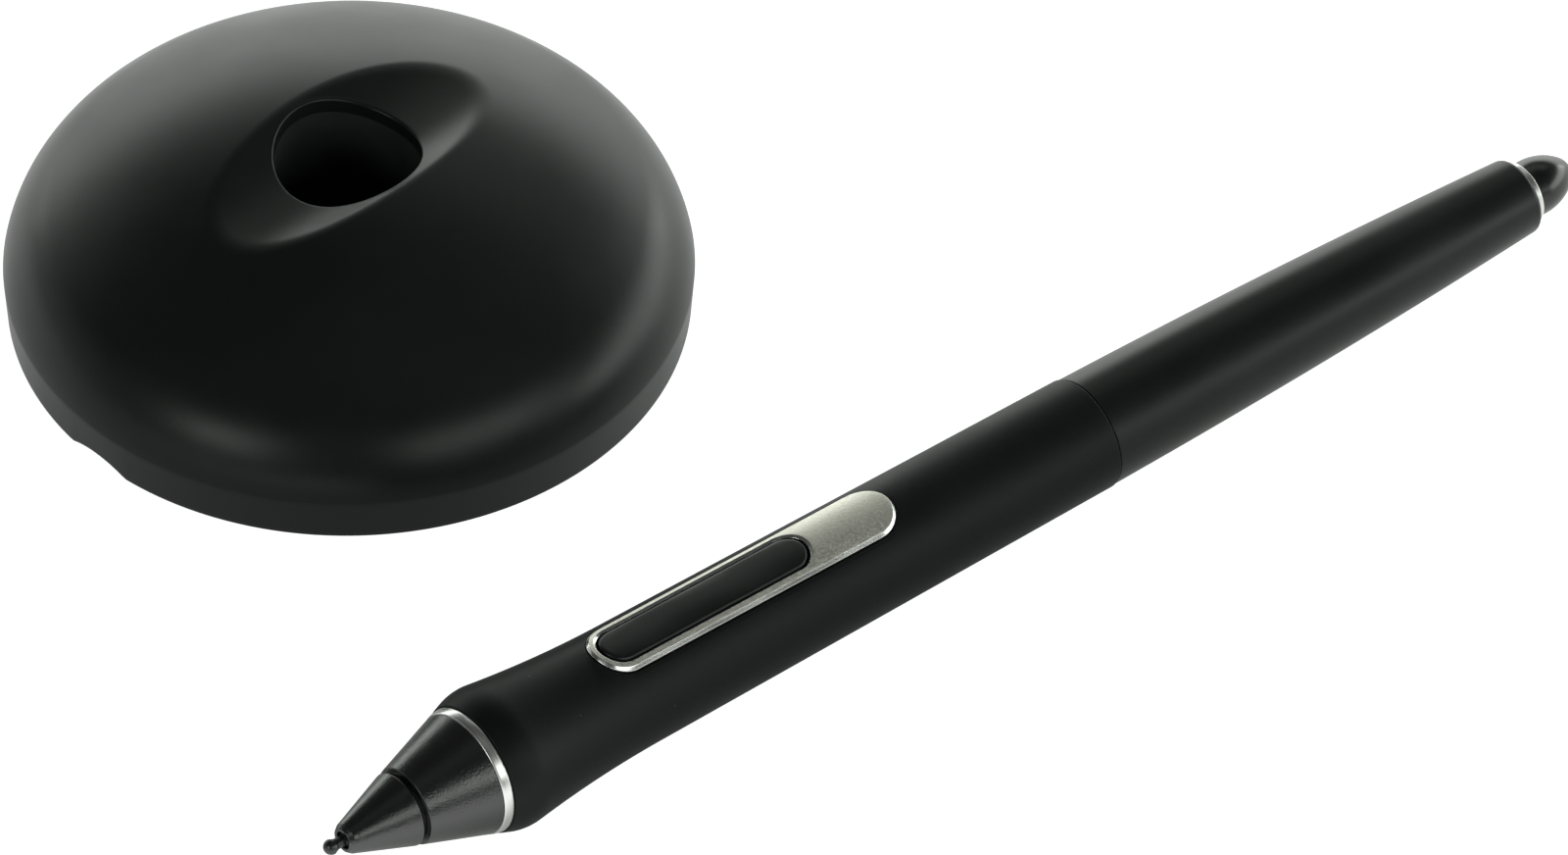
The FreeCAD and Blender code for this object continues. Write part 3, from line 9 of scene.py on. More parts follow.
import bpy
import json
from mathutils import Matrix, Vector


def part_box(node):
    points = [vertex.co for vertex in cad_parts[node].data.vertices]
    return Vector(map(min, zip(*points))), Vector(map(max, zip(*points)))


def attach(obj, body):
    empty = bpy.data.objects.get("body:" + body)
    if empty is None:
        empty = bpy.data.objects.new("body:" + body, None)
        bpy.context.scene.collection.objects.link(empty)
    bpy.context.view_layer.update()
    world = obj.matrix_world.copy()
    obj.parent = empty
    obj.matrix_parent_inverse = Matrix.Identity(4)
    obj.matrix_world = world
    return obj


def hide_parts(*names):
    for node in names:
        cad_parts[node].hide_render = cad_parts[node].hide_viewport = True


bl_info = {
    "name": "Drawing pen and stand",
    "version": (1, 0, 0),
    "blender": (4, 5, 0),
    "location": "View3D > Sidebar > Pen and stand",
    "description": "Builds the visible pieces, finishes and studio of a pen and its stand",
    "category": "Add Mesh",
}

import json
import math

import bmesh
import bpy
import numpy as np
from bpy.props import FloatProperty, FloatVectorProperty, PointerProperty
from mathutils import Matrix, Vector

MM = 0.001

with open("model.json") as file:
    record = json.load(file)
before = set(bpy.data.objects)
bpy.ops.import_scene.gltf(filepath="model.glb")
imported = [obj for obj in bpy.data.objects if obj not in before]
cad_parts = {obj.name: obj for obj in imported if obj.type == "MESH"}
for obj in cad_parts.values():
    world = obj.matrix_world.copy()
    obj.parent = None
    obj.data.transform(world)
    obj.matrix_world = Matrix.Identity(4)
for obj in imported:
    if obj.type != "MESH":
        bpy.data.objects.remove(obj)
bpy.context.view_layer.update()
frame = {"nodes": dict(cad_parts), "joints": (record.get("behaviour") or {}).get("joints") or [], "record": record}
JOINTS = {joint["name"]: joint for joint in frame["joints"]}
STAND_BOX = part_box("stand_top")

# ---------------------------------------------------------------------------------------------
# The pen's own frame, from the record's joints
# ---------------------------------------------------------------------------------------------

PIVOT_HEIGHT = 4.3 * MM      # rocker's pivot above the pen's axis
PIVOT_ALONG = 46.4 * MM      # rocker's pivot from the nib's point
ALONG = np.array(JOINTS["nib_press"]["axis"], float)
ACROSS = np.array(JOINTS["rocker_tilt"]["axis"], float)
UPWARD = np.cross(ACROSS, ALONG)
PEN_AXES = np.stack([UPWARD, ACROSS, ALONG])
PEN_ORIGIN = (np.array(JOINTS["rocker_tilt"]["pos_m"], float)
              - PIVOT_HEIGHT * UPWARD - PIVOT_ALONG * ALONG)


def in_scene(points):
    """Places of points given in the pen's frame: its origin plus each coordinate on its axis."""
    return points @ PEN_AXES + PEN_ORIGIN


# ---------------------------------------------------------------------------------------------
# Sizes and colours
# ---------------------------------------------------------------------------------------------

def size(name, description, default):
    """A length property, in metres."""
    return FloatProperty(name=name, description=description, default=default, min=0.0,
                         precision=5, unit="LENGTH")


def amount(name, description, default):
    """A plain number that can't fall below nothing."""
    return FloatProperty(name=name, description=description, default=default, min=0.0)


def angle(name, description, default):
    """An angle property whose default is given in degrees."""
    return FloatProperty(name=name, description=description, default=math.radians(default),
                         subtype="ANGLE")


def linear(code):
    """Linear colour of an sRGB hex code such as 1b1e1d."""
    channels = np.array([int(code[k:k + 2], 16) for k in (0, 2, 4)]) / 255
    dark = channels <= 0.04045       # where the sRGB curve starts as a straight line
    return tuple(np.where(dark, channels / 12.92, ((channels + 0.055) / 1.055) ** 2.4))


def colour(name, description, code):
    """A colour property whose default is an sRGB hex code."""
    return FloatVectorProperty(name=name, description=description, default=linear(code),
                               subtype="COLOR", size=3, min=0.0, max=1.0)


class PenSizes(bpy.types.PropertyGroup):
    """Sizes of the pen's visible pieces."""

    length: size("Pen length", "Nib's point to the eraser's end", 157.0 * MM)
    nib_ball: size("Nib ball", "Radius of the nib's point", 0.8 * MM)
    nib_show: size("Nib shown", "Nib in front of the nose", 2.2 * MM)
    nose_split: size("Nose split", "Nib's point to the joint of the two nose pieces", 9.9 * MM)
    nose_groove: size("Nose groove", "Width of the groove between the nose pieces", 0.6 * MM)
    nose_end: size("Nose end", "Nib's point to the back of the nose cone", 17.1 * MM)
    ring_length: size("Nose ring", "Length of the bright ring", 1.1 * MM)
    flare_radius: size("Flare", "Largest radius of the grip", 7.5 * MM)
    grip_end: size("Grip end", "Nib's point to the back of the grip", 94.9 * MM)
    grip_end_radius: size("Grip end radius", "Radius of the back of the grip", 5.9 * MM)
    grip_edge: size("Grip edge", "Rounding of the rubber's edges", 0.14 * MM)
    barrel_front: size("Barrel front radius", "Radius of the rear barrel's front", 5.8 * MM)
    barrel_back: size("Barrel back radius", "Radius of the rear barrel's back", 3.95 * MM)
    barrel_end: size("Barrel end", "Nib's point to the back of the rear barrel", 150.6 * MM)
    barrel_edge: size("Barrel edge", "Rounding of the barrel's back edge", 0.6 * MM)
    eraser_radius: size("Eraser radius", "Radius of the eraser's side", 2.93 * MM)


class SwitchSizes(bpy.types.PropertyGroup):
    """Sizes of the rocker switch and its trim."""

    start: size("Trim start", "Nib's point to the front of the trim", 32.9 * MM)
    end: size("Trim end", "Nib's point to the back of the trim", 69.85 * MM)
    half: size("Trim half width", "Half the width of the trim", 3.2 * MM)
    rim: size("Rim", "Width of the rim round the rocker", 0.95 * MM)
    chamfer: size("Chamfer", "Width of the polished chamfers", 0.25 * MM)
    rocker_end: size("Rocker end", "Nib's point to the back of the rocker", 59.1 * MM)
    gap: size("Gap", "Gap round the rocker", 0.13 * MM)
    rocker_edge: size("Rocker edge", "Rounding of the rocker's edges", 0.32 * MM)
    rocker_floor: size("Rocker floor", "Pen's axis to the rocker's underside", 5.85 * MM)
    rocker_dish: size("Rocker dish", "Depth of the two shallow dishes", 0.1 * MM)
    front_radius: size("Front top radius", "Top of the trim at its front", 6.86 * MM)
    back_radius: size("Back top radius", "Top of the trim at its back", 6.49 * MM)


class StandSizes(bpy.types.PropertyGroup):
    """Sizes of the stand's dome."""

    radius: size("Stand radius", "Widest radius of the wall", STAND_BOX[1].x)
    skirt_lift: size("Lower edge", "Height of the wall's lower edge", STAND_BOX[0].z)
    wall_top: size("Wall height", "Height where the wall turns over", 5.17 * MM)
    wall_edge: size("Wall edge", "Rounding at the top of the wall", 1.5 * MM)
    shoulder: size("Shoulder", "Radius of the shoulder's profile", 11.5 * MM)
    socket: size("Socket", "Radius of the socket", 7.3 * MM)
    socket_lip: size("Socket lip", "Rounding of the socket's edge", 0.3 * MM)
    trough_radius: size("Trough", "Radius of the trough across the top", 16.0 * MM)
    trough_depth: size("Trough depth", "Trough's bottom below the top of the dome", 2.74 * MM)
    trough_blend: size("Trough edge", "Height over which the trough's edge is blended",
                       0.42 * MM)
    trough_turn: angle("Trough direction", "Direction of the trough from +X", 5.1)
    notch_width: size("Notch width", "Width of the finger notch", 7.6 * MM)
    notch_height: size("Notch height", "Height of the finger notch", 0.9 * MM)
    notch_turn: angle("Notch direction", "Direction of the finger notch from +X", 184.5)


class FinishColours(bpy.types.PropertyGroup):
    """Colours of the visible finishes."""

    soft_touch: colour("Soft-touch lacquer", "Stand and rear barrel", "171a19")
    rubber: colour("Silicone rubber", "Grip", "111313")
    nose: colour("Nose plastic", "Nose pieces", "0d0f0e")
    rocker: colour("Rocker plastic", "Rocker button", "121413")
    nib: colour("Nib plastic", "Nib and spare nibs", "161717")
    eraser: colour("Eraser plastic", "Eraser", "131514")
    chrome: colour("Bright plating", "Rings and chamfers", "e2e2df")
    anodised: colour("Anodised aluminium", "Trim of the switch", "e0ddd3")
    rubber_foot: colour("Foot rubber", "Foot under the stand", "191a1a")


class StudioSettings(bpy.types.PropertyGroup):
    """Camera, floor and light."""

    azimuth: angle("Azimuth", "Camera's turn about the object", -39.0)
    elevation: angle("Elevation", "Camera's height above the table", 44.22)
    distance: size("Distance", "Camera to the point it looks at", 2.8929)
    target: FloatVectorProperty(name="Target", description="Point of the table looked at",
                                default=(0.02207, -0.04097), size=2, precision=5,
                                subtype="XYZ", unit="LENGTH")
    lens: amount("Lens", "Focal length in millimetres", 675.0)
    floor: colour("Floor", "Opal acrylic table", "f7f8f7")
    light: colour("Light", "Tint of every soft box", "f8fff9")
    surround: amount("Surround", "Light of the dark studio round the table", 0.06)
    glow_front: amount("Front glow", "Light from the table's front", 1.1)
    glow_middle: amount("Middle glow", "Light from the table's middle", 0.15)
    glow_behind: amount("Back glow", "Light from the table's back", 1.15)


SETTINGS = {
    "pen_sizes": PenSizes,
    "switch_sizes": SwitchSizes,
    "stand_sizes": StandSizes,
    "pen_finishes": FinishColours,
    "pen_studio": StudioSettings,
}

# ---------------------------------------------------------------------------------------------
# Outlines: arrays of points on one side of a section
# ---------------------------------------------------------------------------------------------


def arc(centre, radius, first, last, steps):
    """Points on a circle: centre plus radius times cosine and sine of evenly spaced angles."""
    turn = np.radians(np.linspace(first, last, steps + 1))
    return np.stack([centre[0] + radius * np.cos(turn), centre[1] + radius * np.sin(turn)], -1)


def bow(start, end, radius, steps):
    """Shallow arc from start to end that bulges to the right of the way it runs.

    A bulge to the left has a negative radius.  Each point is the chord's point plus the arc's
    rise above the chord, the square root of radius squared less the distance from the middle
    squared, less its value at the ends.
    """
    start = np.array(start, float)
    end = np.array(end, float)
    share = np.linspace(0, 1, steps + 1)[:, None]
    chord = end - start
    length = np.hypot(*chord)
    right = np.array([chord[1], -chord[0]]) / length
    beyond = (share - 0.5) * length
    rise = np.sqrt(radius ** 2 - beyond ** 2) - math.sqrt(radius ** 2 - length ** 2 / 4)
    return start + share * chord + right * rise * np.sign(radius)


GUARD = 0.3          # largest share of a flat side that its guard point takes up
NOTHING = 1e-9       # sides shorter than this are left out of an outline


def rounded(corners, closed=True, steps=5):
    """Outline through corners (a, b, rounding), each turned by an arc of that radius.

    The arc touches both sides at the rounding times the tangent of half the turn.  A guard
    point just beyond each end of the arc keeps the flat sides flat when they are shaded.
    """
    outline = []
    count = len(corners)
    for index, (a, b, rounding) in enumerate(corners):
        here = np.array([a, b], float)
        inner = closed or 0 < index < count - 1
        if not rounding or not inner:
            outline.append(here[None])
            continue
        before = np.array(corners[index - 1][:2], float) - here
        after = np.array(corners[(index + 1) % count][:2], float) - here
        before_length = np.hypot(*before)
        after_length = np.hypot(*after)
        before = before / before_length
        after = after / after_length
        half_turn = (math.pi - math.acos(np.clip(before @ after, -1, 1))) / 2
        reach = rounding * math.tan(half_turn)
        middle = (before + after) / np.hypot(*(before + after))
        centre = here + middle * rounding / math.cos(half_turn)
        first = here + before * reach - centre
        last = here + after * reach - centre
        share = np.linspace(0, 1, steps + 1)[:, None]
        spread = 2 * half_turn
        weights = np.sin((1 - share) * spread), np.sin(share * spread)
        curve = centre + (weights[0] * first + weights[1] * last) / math.sin(spread)
        lead = min(rounding / steps, GUARD * (before_length - reach))
        tail = min(rounding / steps, GUARD * (after_length - reach))
        outline.append((here + before * (reach + lead))[None])
        outline.append(curve)
        outline.append((here + after * (reach + tail))[None])
    return np.concatenate(outline)


def spaced(outline, longest, closed=False):
    """The same outline with its long sides divided, so that no side is longer than longest."""
    nodes = np.concatenate([outline, outline[:1]]) if closed else outline
    length = np.hypot(*np.diff(nodes, axis=0).T)
    nodes = nodes[np.concatenate([[True], length > NOTHING])]
    length = length[length > NOTHING]
    travelled = np.concatenate([[0], np.cumsum(length)])
    cuts = np.maximum(np.ceil(length / longest), 1).astype(int)
    side = np.repeat(np.arange(len(cuts)), cuts)
    step = np.arange(len(side)) - np.repeat(np.cumsum(cuts) - cuts, cuts)
    wanted = travelled[side] + step / cuts[side] * length[side]
    if not closed:
        wanted = np.append(wanted, travelled[-1])
    return np.stack([np.interp(wanted, travelled, nodes[:, 0]),
                     np.interp(wanted, travelled, nodes[:, 1])], -1)


# ---------------------------------------------------------------------------------------------
# Surfaces: arrays of points and of polygons
# ---------------------------------------------------------------------------------------------


def grid(rows, columns, wrap_rows=False, wrap_columns=False):
    """Quads between the points of a grid: each point, its right, upper right and upper."""
    i = np.arange(rows if wrap_rows else rows - 1)[:, None]
    j = np.arange(columns if wrap_columns else columns - 1)[None, :]
    above = (i + 1) % rows
    right = (j + 1) % columns
    corners = [i * columns + j, i * columns + right, above * columns + right, above * columns + j]
    return np.stack(np.broadcast_arrays(*corners), -1).reshape(-1, 4)


def swept(radius, height, turn):
    """Points round z: x is the radius times the turn's cosine and y the radius times its sine."""
    radius, height = np.broadcast_arrays(radius + 0 * turn, height + 0 * turn)
    return np.stack([radius * np.cos(turn), radius * np.sin(turn), height], -1)


def turned(outline, sides, closed=True):
    """An outline of (radius, height) turned about z, in equal steps.

    The outline runs along +z on its outside.  An open one begins and ends at a single point on
    the axis, which triangles join to the nearest ring.
    """
    rings = outline if closed else outline[1:-1]
    turn = np.arange(sides) * 2 * math.pi / sides
    points = swept(rings[:, :1], rings[:, 1:], turn).reshape(-1, 3)
    polygons = [grid(len(rings), sides, closed, True)]
    if not closed:
        here = np.arange(sides)
        following = (here + 1) % sides
        last = (len(rings) - 1) * sides
        pole = np.full(sides, len(points))
        polygons.append(np.stack([pole, following, here], -1))
        polygons.append(np.stack([last + here, last + following, pole + 1], -1))
        points = np.concatenate([points, [[0, 0, outline[0, 1]], [0, 0, outline[-1, 1]]]])
    return points, polygons


def pill(half, start, end, front, side, back):
    """Round-ended outline in (y, z), half wide each way and as long as start to end.

    It runs round the front end, up the +y side, round the back end and down the -y side.  The
    middle quarter turn of each end has front or back points, and each side, with the rest of
    the ends, has side points.
    """
    low, high = start + half, end - half
    eighth = half * math.pi / 4
    straight = high - low
    way = np.linspace(0, 2 * eighth + straight, side, endpoint=False)
    lower_turn = np.radians(-45) + np.clip(way, 0, eighth) / half
    upper_turn = np.clip(way - eighth - straight, 0, eighth) / half
    turn = np.where(way < eighth, lower_turn, upper_turn)
    y = half * np.cos(turn)
    z = np.clip(low + way - eighth, low, high) + half * np.sin(turn)
    front_turn = np.radians(np.linspace(-135, -45, front, endpoint=False))
    back_turn = np.radians(np.linspace(45, 135, back, endpoint=False))
    return np.concatenate([
        np.stack([half * np.cos(front_turn), low + half * np.sin(front_turn)], -1),
        np.stack([y, z], -1),
        np.stack([half * np.cos(back_turn), high + half * np.sin(back_turn)], -1),
        np.stack([-y, low + high - z], -1)])


WELD = 0.002 * MM            # points nearer to each other than this become one
SHORTEST = 0.001 * MM        # and an edge shorter than this is taken out


def add_piece(name, surface, body, slot, replaced, looks=None, weld=False):
    """Makes the mesh object of a surface, hangs it on the empty of the body it rides on and hides the CAD nodes
    that it replaces.

    The surface is its points and its arrays of polygons.  The looks are the names of its
    finishes, and the slot's own finish where none are given.
    """
    points, polygons = surface
    mesh = bpy.data.meshes.new(name)
    corners = np.concatenate([p.ravel() for p in polygons]).astype(np.int32)
    counts = np.concatenate([np.full(len(p), p.shape[1]) for p in polygons])
    starts = (np.cumsum(counts) - counts).astype(np.int32)
    mesh.vertices.add(len(points))
    mesh.vertices.foreach_set("co", points.astype(np.float32).ravel())
    mesh.loops.add(len(corners))
    mesh.loops.foreach_set("vertex_index", corners)
    mesh.polygons.add(len(counts))
    mesh.polygons.foreach_set("loop_start", starts)
    for look in looks or [slot]:
        mesh.materials.append(finishes()[look])
    mesh.update(calc_edges=True)
    if weld:
        shape = bmesh.new()
        shape.from_mesh(mesh)
        bmesh.ops.remove_doubles(shape, verts=shape.verts, dist=WELD)
        bmesh.ops.dissolve_degenerate(shape, edges=shape.edges, dist=SHORTEST)
        shape.to_mesh(mesh)
        shape.free()
    mesh.shade_smooth()
    piece = bpy.data.objects.new(name, mesh)
    bpy.context.scene.collection.objects.link(piece)
    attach(piece, body)
    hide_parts(*replaced)
    return piece


def pen_piece(name, surface, *rest, **more):
    """A piece given in the pen's frame, laid where the pen lies."""
    points, polygons = surface
    return add_piece(name, (in_scene(points), polygons), *rest, **more)


# ---------------------------------------------------------------------------------------------
# Finishes
# ---------------------------------------------------------------------------------------------

PEN_TURN = Matrix(PEN_AXES.T.tolist()).to_euler()


def add_node(tree, kind, settings=(), links=()):
    """Adds a node, sets its properties and unlinked sockets, and links sources to its sockets."""
    node = tree.nodes.new(kind)
    for title, value in dict(settings).items():
        if title in node.inputs:
            node.inputs[title].default_value = value
        else:
            setattr(node, title, value)
    for title, source in dict(links).items():
        tree.links.new(source, node.inputs[title])
    return node


def new_material(name, sockets):
    """An empty material with one shader, whose own sockets hold what is even all over."""
    material = bpy.data.materials.new(name)
    material.use_nodes = True
    tree = material.node_tree
    tree.nodes.clear()
    shader = add_node(tree, "ShaderNodeBsdfPrincipled", sockets)
    add_node(tree, "ShaderNodeOutputMaterial", {}, {"Surface": shader.outputs["BSDF"]})
    return material, tree, shader


def pattern_space(tree, spacing):
    """Object coordinates turned into the pen's frame, with one unit for each spacing."""
    place = add_node(tree, "ShaderNodeTexCoord")
    return add_node(tree, "ShaderNodeMapping", {
        "vector_type": "TEXTURE", "Location": PEN_ORIGIN, "Rotation": PEN_TURN,
        "Scale": spacing}, {"Vector": place.outputs["Object"]}).outputs["Vector"]


def dress(tree, shader, pattern, reach, tones, smear, relief, depth):
    """Ties one pattern to the tone and roughness of a surface, and another to its relief.

    The pattern's two values of reach have the two tones and the two roughnesses of smear, and
    between them both are mixed.  Without smear the shader keeps its own roughness.  The relief
    rises by depth.  The tone's output is given back.
    """
    ramp = add_node(tree, "ShaderNodeValToRGB", {}, {"Fac": pattern})
    for stop, spot, tone in zip(ramp.color_ramp.elements, reach, tones):
        stop.position = spot
        stop.color = (*tone, 1)
    tree.links.new(ramp.outputs["Color"], shader.inputs["Base Color"])
    if smear:
        rough = add_node(tree, "ShaderNodeMapRange", {
            "From Min": reach[0], "From Max": reach[1], "To Min": smear[0],
            "To Max": smear[1]}, {"Value": pattern})
        tree.links.new(rough.outputs["Result"], shader.inputs["Roughness"])
    bump = add_node(tree, "ShaderNodeBump", {"Strength": 1.0, "Distance": depth},
                    {"Height": relief})
    tree.links.new(bump.outputs["Normal"], shader.inputs["Normal"])
    return ramp.outputs["Color"]


LINT_SPACING = (2.6 * MM, 1.9 * MM, 2.3 * MM)        # about one speck in each such cell
LINT = (0.3, 0.3, 0.29, 1)                           # pale grey dust, linear
ONE_BAND = 0.314        # a wave repeats every 2 pi / (20 x scale): at this scale once in a unit


def moulded(name, tone, roughness, grain, depth, drift=0.2, patch=7 * MM, lint=0.0,
            specular=0.5, subsurface=0.0):
    """A surface with a fine grain, slow drifts of tone and gloss, and perhaps specks of lint.

    grain is the distance between grains and depth their height; patch is the size of the slow
    drifts, which take the tone down and up by the share drift and the roughness by a tenth.
    lint is a speck's radius as a share of the way between two specks.
    """
    material, tree, shader = new_material(name, {
        "Specular IOR Level": specular, "Subsurface Weight": subsurface})
    cloud = add_node(tree, "ShaderNodeTexNoise",
                     {"Scale": 1.0, "Detail": 4.0, "Roughness": 0.6},
                     {"Vector": pattern_space(tree, (patch,) * 3)}).outputs["Fac"]
    grains = add_node(tree, "ShaderNodeTexNoise", {"Scale": 1.0, "Detail": 2.0},
                      {"Vector": pattern_space(tree, (grain,) * 3)}).outputs["Fac"]
    tones = [[c * share for c in tone] for share in (1 - drift, 1 + drift)]
    shade = dress(tree, shader, cloud, (0.3, 0.7), tones,
                  (roughness * 0.9, min(roughness * 1.1, 1)), grains, depth)
    if lint:
        cells = add_node(tree, "ShaderNodeTexVoronoi", {"Scale": 1.0},
                         {"Vector": pattern_space(tree, LINT_SPACING)})
        speck = add_node(tree, "ShaderNodeMapRange", {
            "From Min": 0.0, "From Max": lint, "To Min": 1.0, "To Max": 0.0},
            {"Value": cells.outputs["Distance"]})
        dusty = add_node(tree, "ShaderNodeMix", {"data_type": "RGBA"},
                         {"Factor": speck.outputs["Result"]})
        tree.links.new(shade, dusty.inputs[6])
        dusty.inputs[7].default_value = LINT
        tree.links.new(dusty.outputs[2], shader.inputs["Base Color"])
    return material


def brushed(name, tone, roughness, spacing, depth):
    """A metal with fine lines: spacing is how far the lines run along the pen's x, y and z."""
    material, tree, shader = new_material(name, {"Metallic": 1.0})
    lines = add_node(tree, "ShaderNodeTexNoise", {"Scale": 1.0, "Detail": 3.0},
                     {"Vector": pattern_space(tree, spacing)}).outputs["Fac"]
    tones = [[min(c * share, 1) for c in tone] for share in (0.86, 1.06)]
    dress(tree, shader, lines, (0.25, 0.75), tones, (roughness * 0.8, roughness * 1.25), lines,
          depth)
    return material


def wound(name, tone, pitch):
    """Wire laid turn by turn: bands along the barrel, one for each turn, with painted shade darkening the grooves
    between them.
    """
    material, tree, shader = new_material(name, {"Metallic": 1.0, "Roughness": 0.35})
    turns = add_node(tree, "ShaderNodeTexWave", {
        "wave_type": "BANDS", "bands_direction": "Z", "Scale": ONE_BAND, "Distortion": 0.2},
        {"Vector": pattern_space(tree, (pitch,) * 3)}).outputs["Fac"]
    # the darker tone, 0.35 of the copper's, is painted shade in the grooves between the turns
    dress(tree, shader, turns, (0, 1), ([c * 0.35 for c in tone], tone), None, turns, pitch / 3)
    return material


FINISHES = {}


def finishes():
    """The materials, by the record's slot names, made the first time that they are asked for."""
    if FINISHES:
        return FINISHES
    colours = bpy.context.scene.pen_finishes
    FINISHES.update({
        # Sprayed soft-touch lacquer scatters light widely: broad dim highlights, bright edges.
        # Its grain is drawn coarser than such lacquer's usually is, so that it shows.
        "soft_black": moulded(
            "Soft-touch polyurethane lacquer, sprayed on ABS", colours.soft_touch, 0.35,
            0.2 * MM, 0.006 * MM, 0.12, 16 * MM, specular=0.26),
        # Moulded silicone is dull and even, with a stipple from its mould and stray lint.  The
        # stipple is drawn coarser than usual, so that it shows.
        "grip_rubber": moulded(
            "Silicone rubber, moulded with a fine stipple", colours.rubber, 0.48,
            0.2 * MM, 0.012 * MM, 0.15, 9 * MM, 0.03, specular=0.16),
        # A spark-eroded mould leaves a frosty grain that glitters inside the highlight.  It is
        # drawn coarser than usual, so that it shows.
        "gloss_black": moulded(
            "ABS, moulded in a spark-eroded tool", colours.nose, 0.26,
            0.2 * MM, 0.03 * MM, 0.15, 4 * MM, specular=0.9),
        # A polished mould leaves a smooth skin, here with the faint waves of moulding.
        "eraser_black": moulded(
            "ABS, moulded and polished", colours.eraser, 0.24,
            0.5 * MM, 0.001 * MM, 0.1, 3 * MM),
        # A fine satin moulding, polished a little by the finger, has a soft even highlight.
        "satin_black": moulded(
            "ABS, moulded satin", colours.rocker, 0.33,
            0.09 * MM, 0.002 * MM, 0.18, 5 * MM, specular=0.4),
        # Plating over turned brass: mirror-bright with faint turning lines round it, drawn
        # further apart than usual, so that they show.
        "bright_silver": brushed(
            "Bright nickel plating over turned brass", colours.chrome, 0.3,
            (9 * MM, 9 * MM, 0.14 * MM), 0.002 * MM),
        # Diamond-cut chamfers are bright, with faint cutter marks along them.
        "polished_silver": brushed(
            "Aluminium, diamond cut", colours.chrome, 0.2, (2 * MM, 2 * MM, 5 * MM),
            0.0004 * MM),
        # Fine bead blasting and a warm anodised layer spread the light without a direction.
        # The blasting is drawn coarser than usual, so that it shows.
        "satin_silver": brushed(
            "Aluminium, bead blasted and anodised", colours.anodised, 0.48,
            (0.25 * MM, 0.25 * MM, 0.3 * MM), 0.012 * MM),
        # Hard polyacetal is slippery and slightly waxy.
        "nib_black": moulded(
            "Polyacetal, moulded", colours.nib, 0.32,
            0.15 * MM, 0.002 * MM, 0.2, 2 * MM, specular=0.6),
        # Felt nibs are bundled fibres, so the surface is dull and streaky.  The fibres are
        # drawn thicker than usual, so that they show.
        "nib_felt": moulded(
            "Polyester felt, bonded", linear("6b6b6a"), 0.9, 0.12 * MM, 0.02 * MM, 0.3,
            0.6 * MM),
        # Sheet rubber cut for a foot, with the weave of its press plate.
        "foot_rubber": moulded(
            "Nitrile rubber sheet, pressed", colours.rubber_foot, 0.7, 0.35 * MM, 0.03 * MM,
            0.2, 6 * MM, 0.012),
        # Cold-rolled plate keeps its rolling lines, drawn as coarse as they need to show.
        "steel": brushed(
            "Steel plate, cold rolled", linear("a9a9a8"), 0.38, (0.12 * MM, 5 * MM, 5 * MM),
            0.002 * MM),
        # Zinc plating is pale and cloudy.
        "zinc_steel": brushed(
            "Steel, zinc plated", linear("b7b8ba"), 0.32, (0.5 * MM, 0.5 * MM, 0.5 * MM),
            0.002 * MM),
        # Sintered ferrite is dark and grainy, drawn coarser than usual so that it shows.
        "ferrite": moulded(
            "Ferrite, sintered", linear("3c3b3a"), 0.6, 0.08 * MM, 0.006 * MM),
        # Enamelled copper is warm and bright on each turn, with painted shade darkening the grooves between the
        # turns.
        "copper": wound("Copper wire, enamelled and wound", linear("c4713a"), 0.14 * MM),
        # Natural nylon is milky and lets a little light in.
        "inner_plastic": moulded(
            "Nylon, moulded in its natural colour", linear("dcdcd6"), 0.42, 0.2 * MM,
            0.003 * MM, 0.06, 3 * MM, subsurface=0.1),
        # Unpainted moulding with the even grain of its tool.
        "dark_inner_plastic": moulded(
            "ABS, moulded black", linear("2c2d2e"), 0.45, 0.25 * MM, 0.008 * MM, 0.12, 5 * MM),
        # Solder mask is a smooth coat that follows the glass cloth's weave under it.
        "board_green": moulded(
            "Epoxy glass laminate, solder masked", linear("1f6b3f"), 0.28, 0.3 * MM,
            0.006 * MM, 0.2, 1.5 * MM),
        # A filled epoxy is matt, with the fine grain of its tool.
        "component_black": moulded(
            "Epoxy, moulded round the chip", linear("2b2b2b"), 0.5, 0.1 * MM, 0.006 * MM),
    })
    return FINISHES


def repaint(nodes):
    """Gives these CAD nodes the finish that the record names for each of them."""
    made = finishes()
    for part in frame["record"]["subparts"]:
        if part["node"] in nodes:
            for holder in frame["nodes"][part["node"]].material_slots:
                holder.material = made[part["material_slot"]]


# ---------------------------------------------------------------------------------------------
# Operators: one for each piece or group of like pieces
# ---------------------------------------------------------------------------------------------

SIDES = 192                 # steps round the pen's turned pieces
LONGEST = 0.5 * MM          # longest side of an outline along the barrel


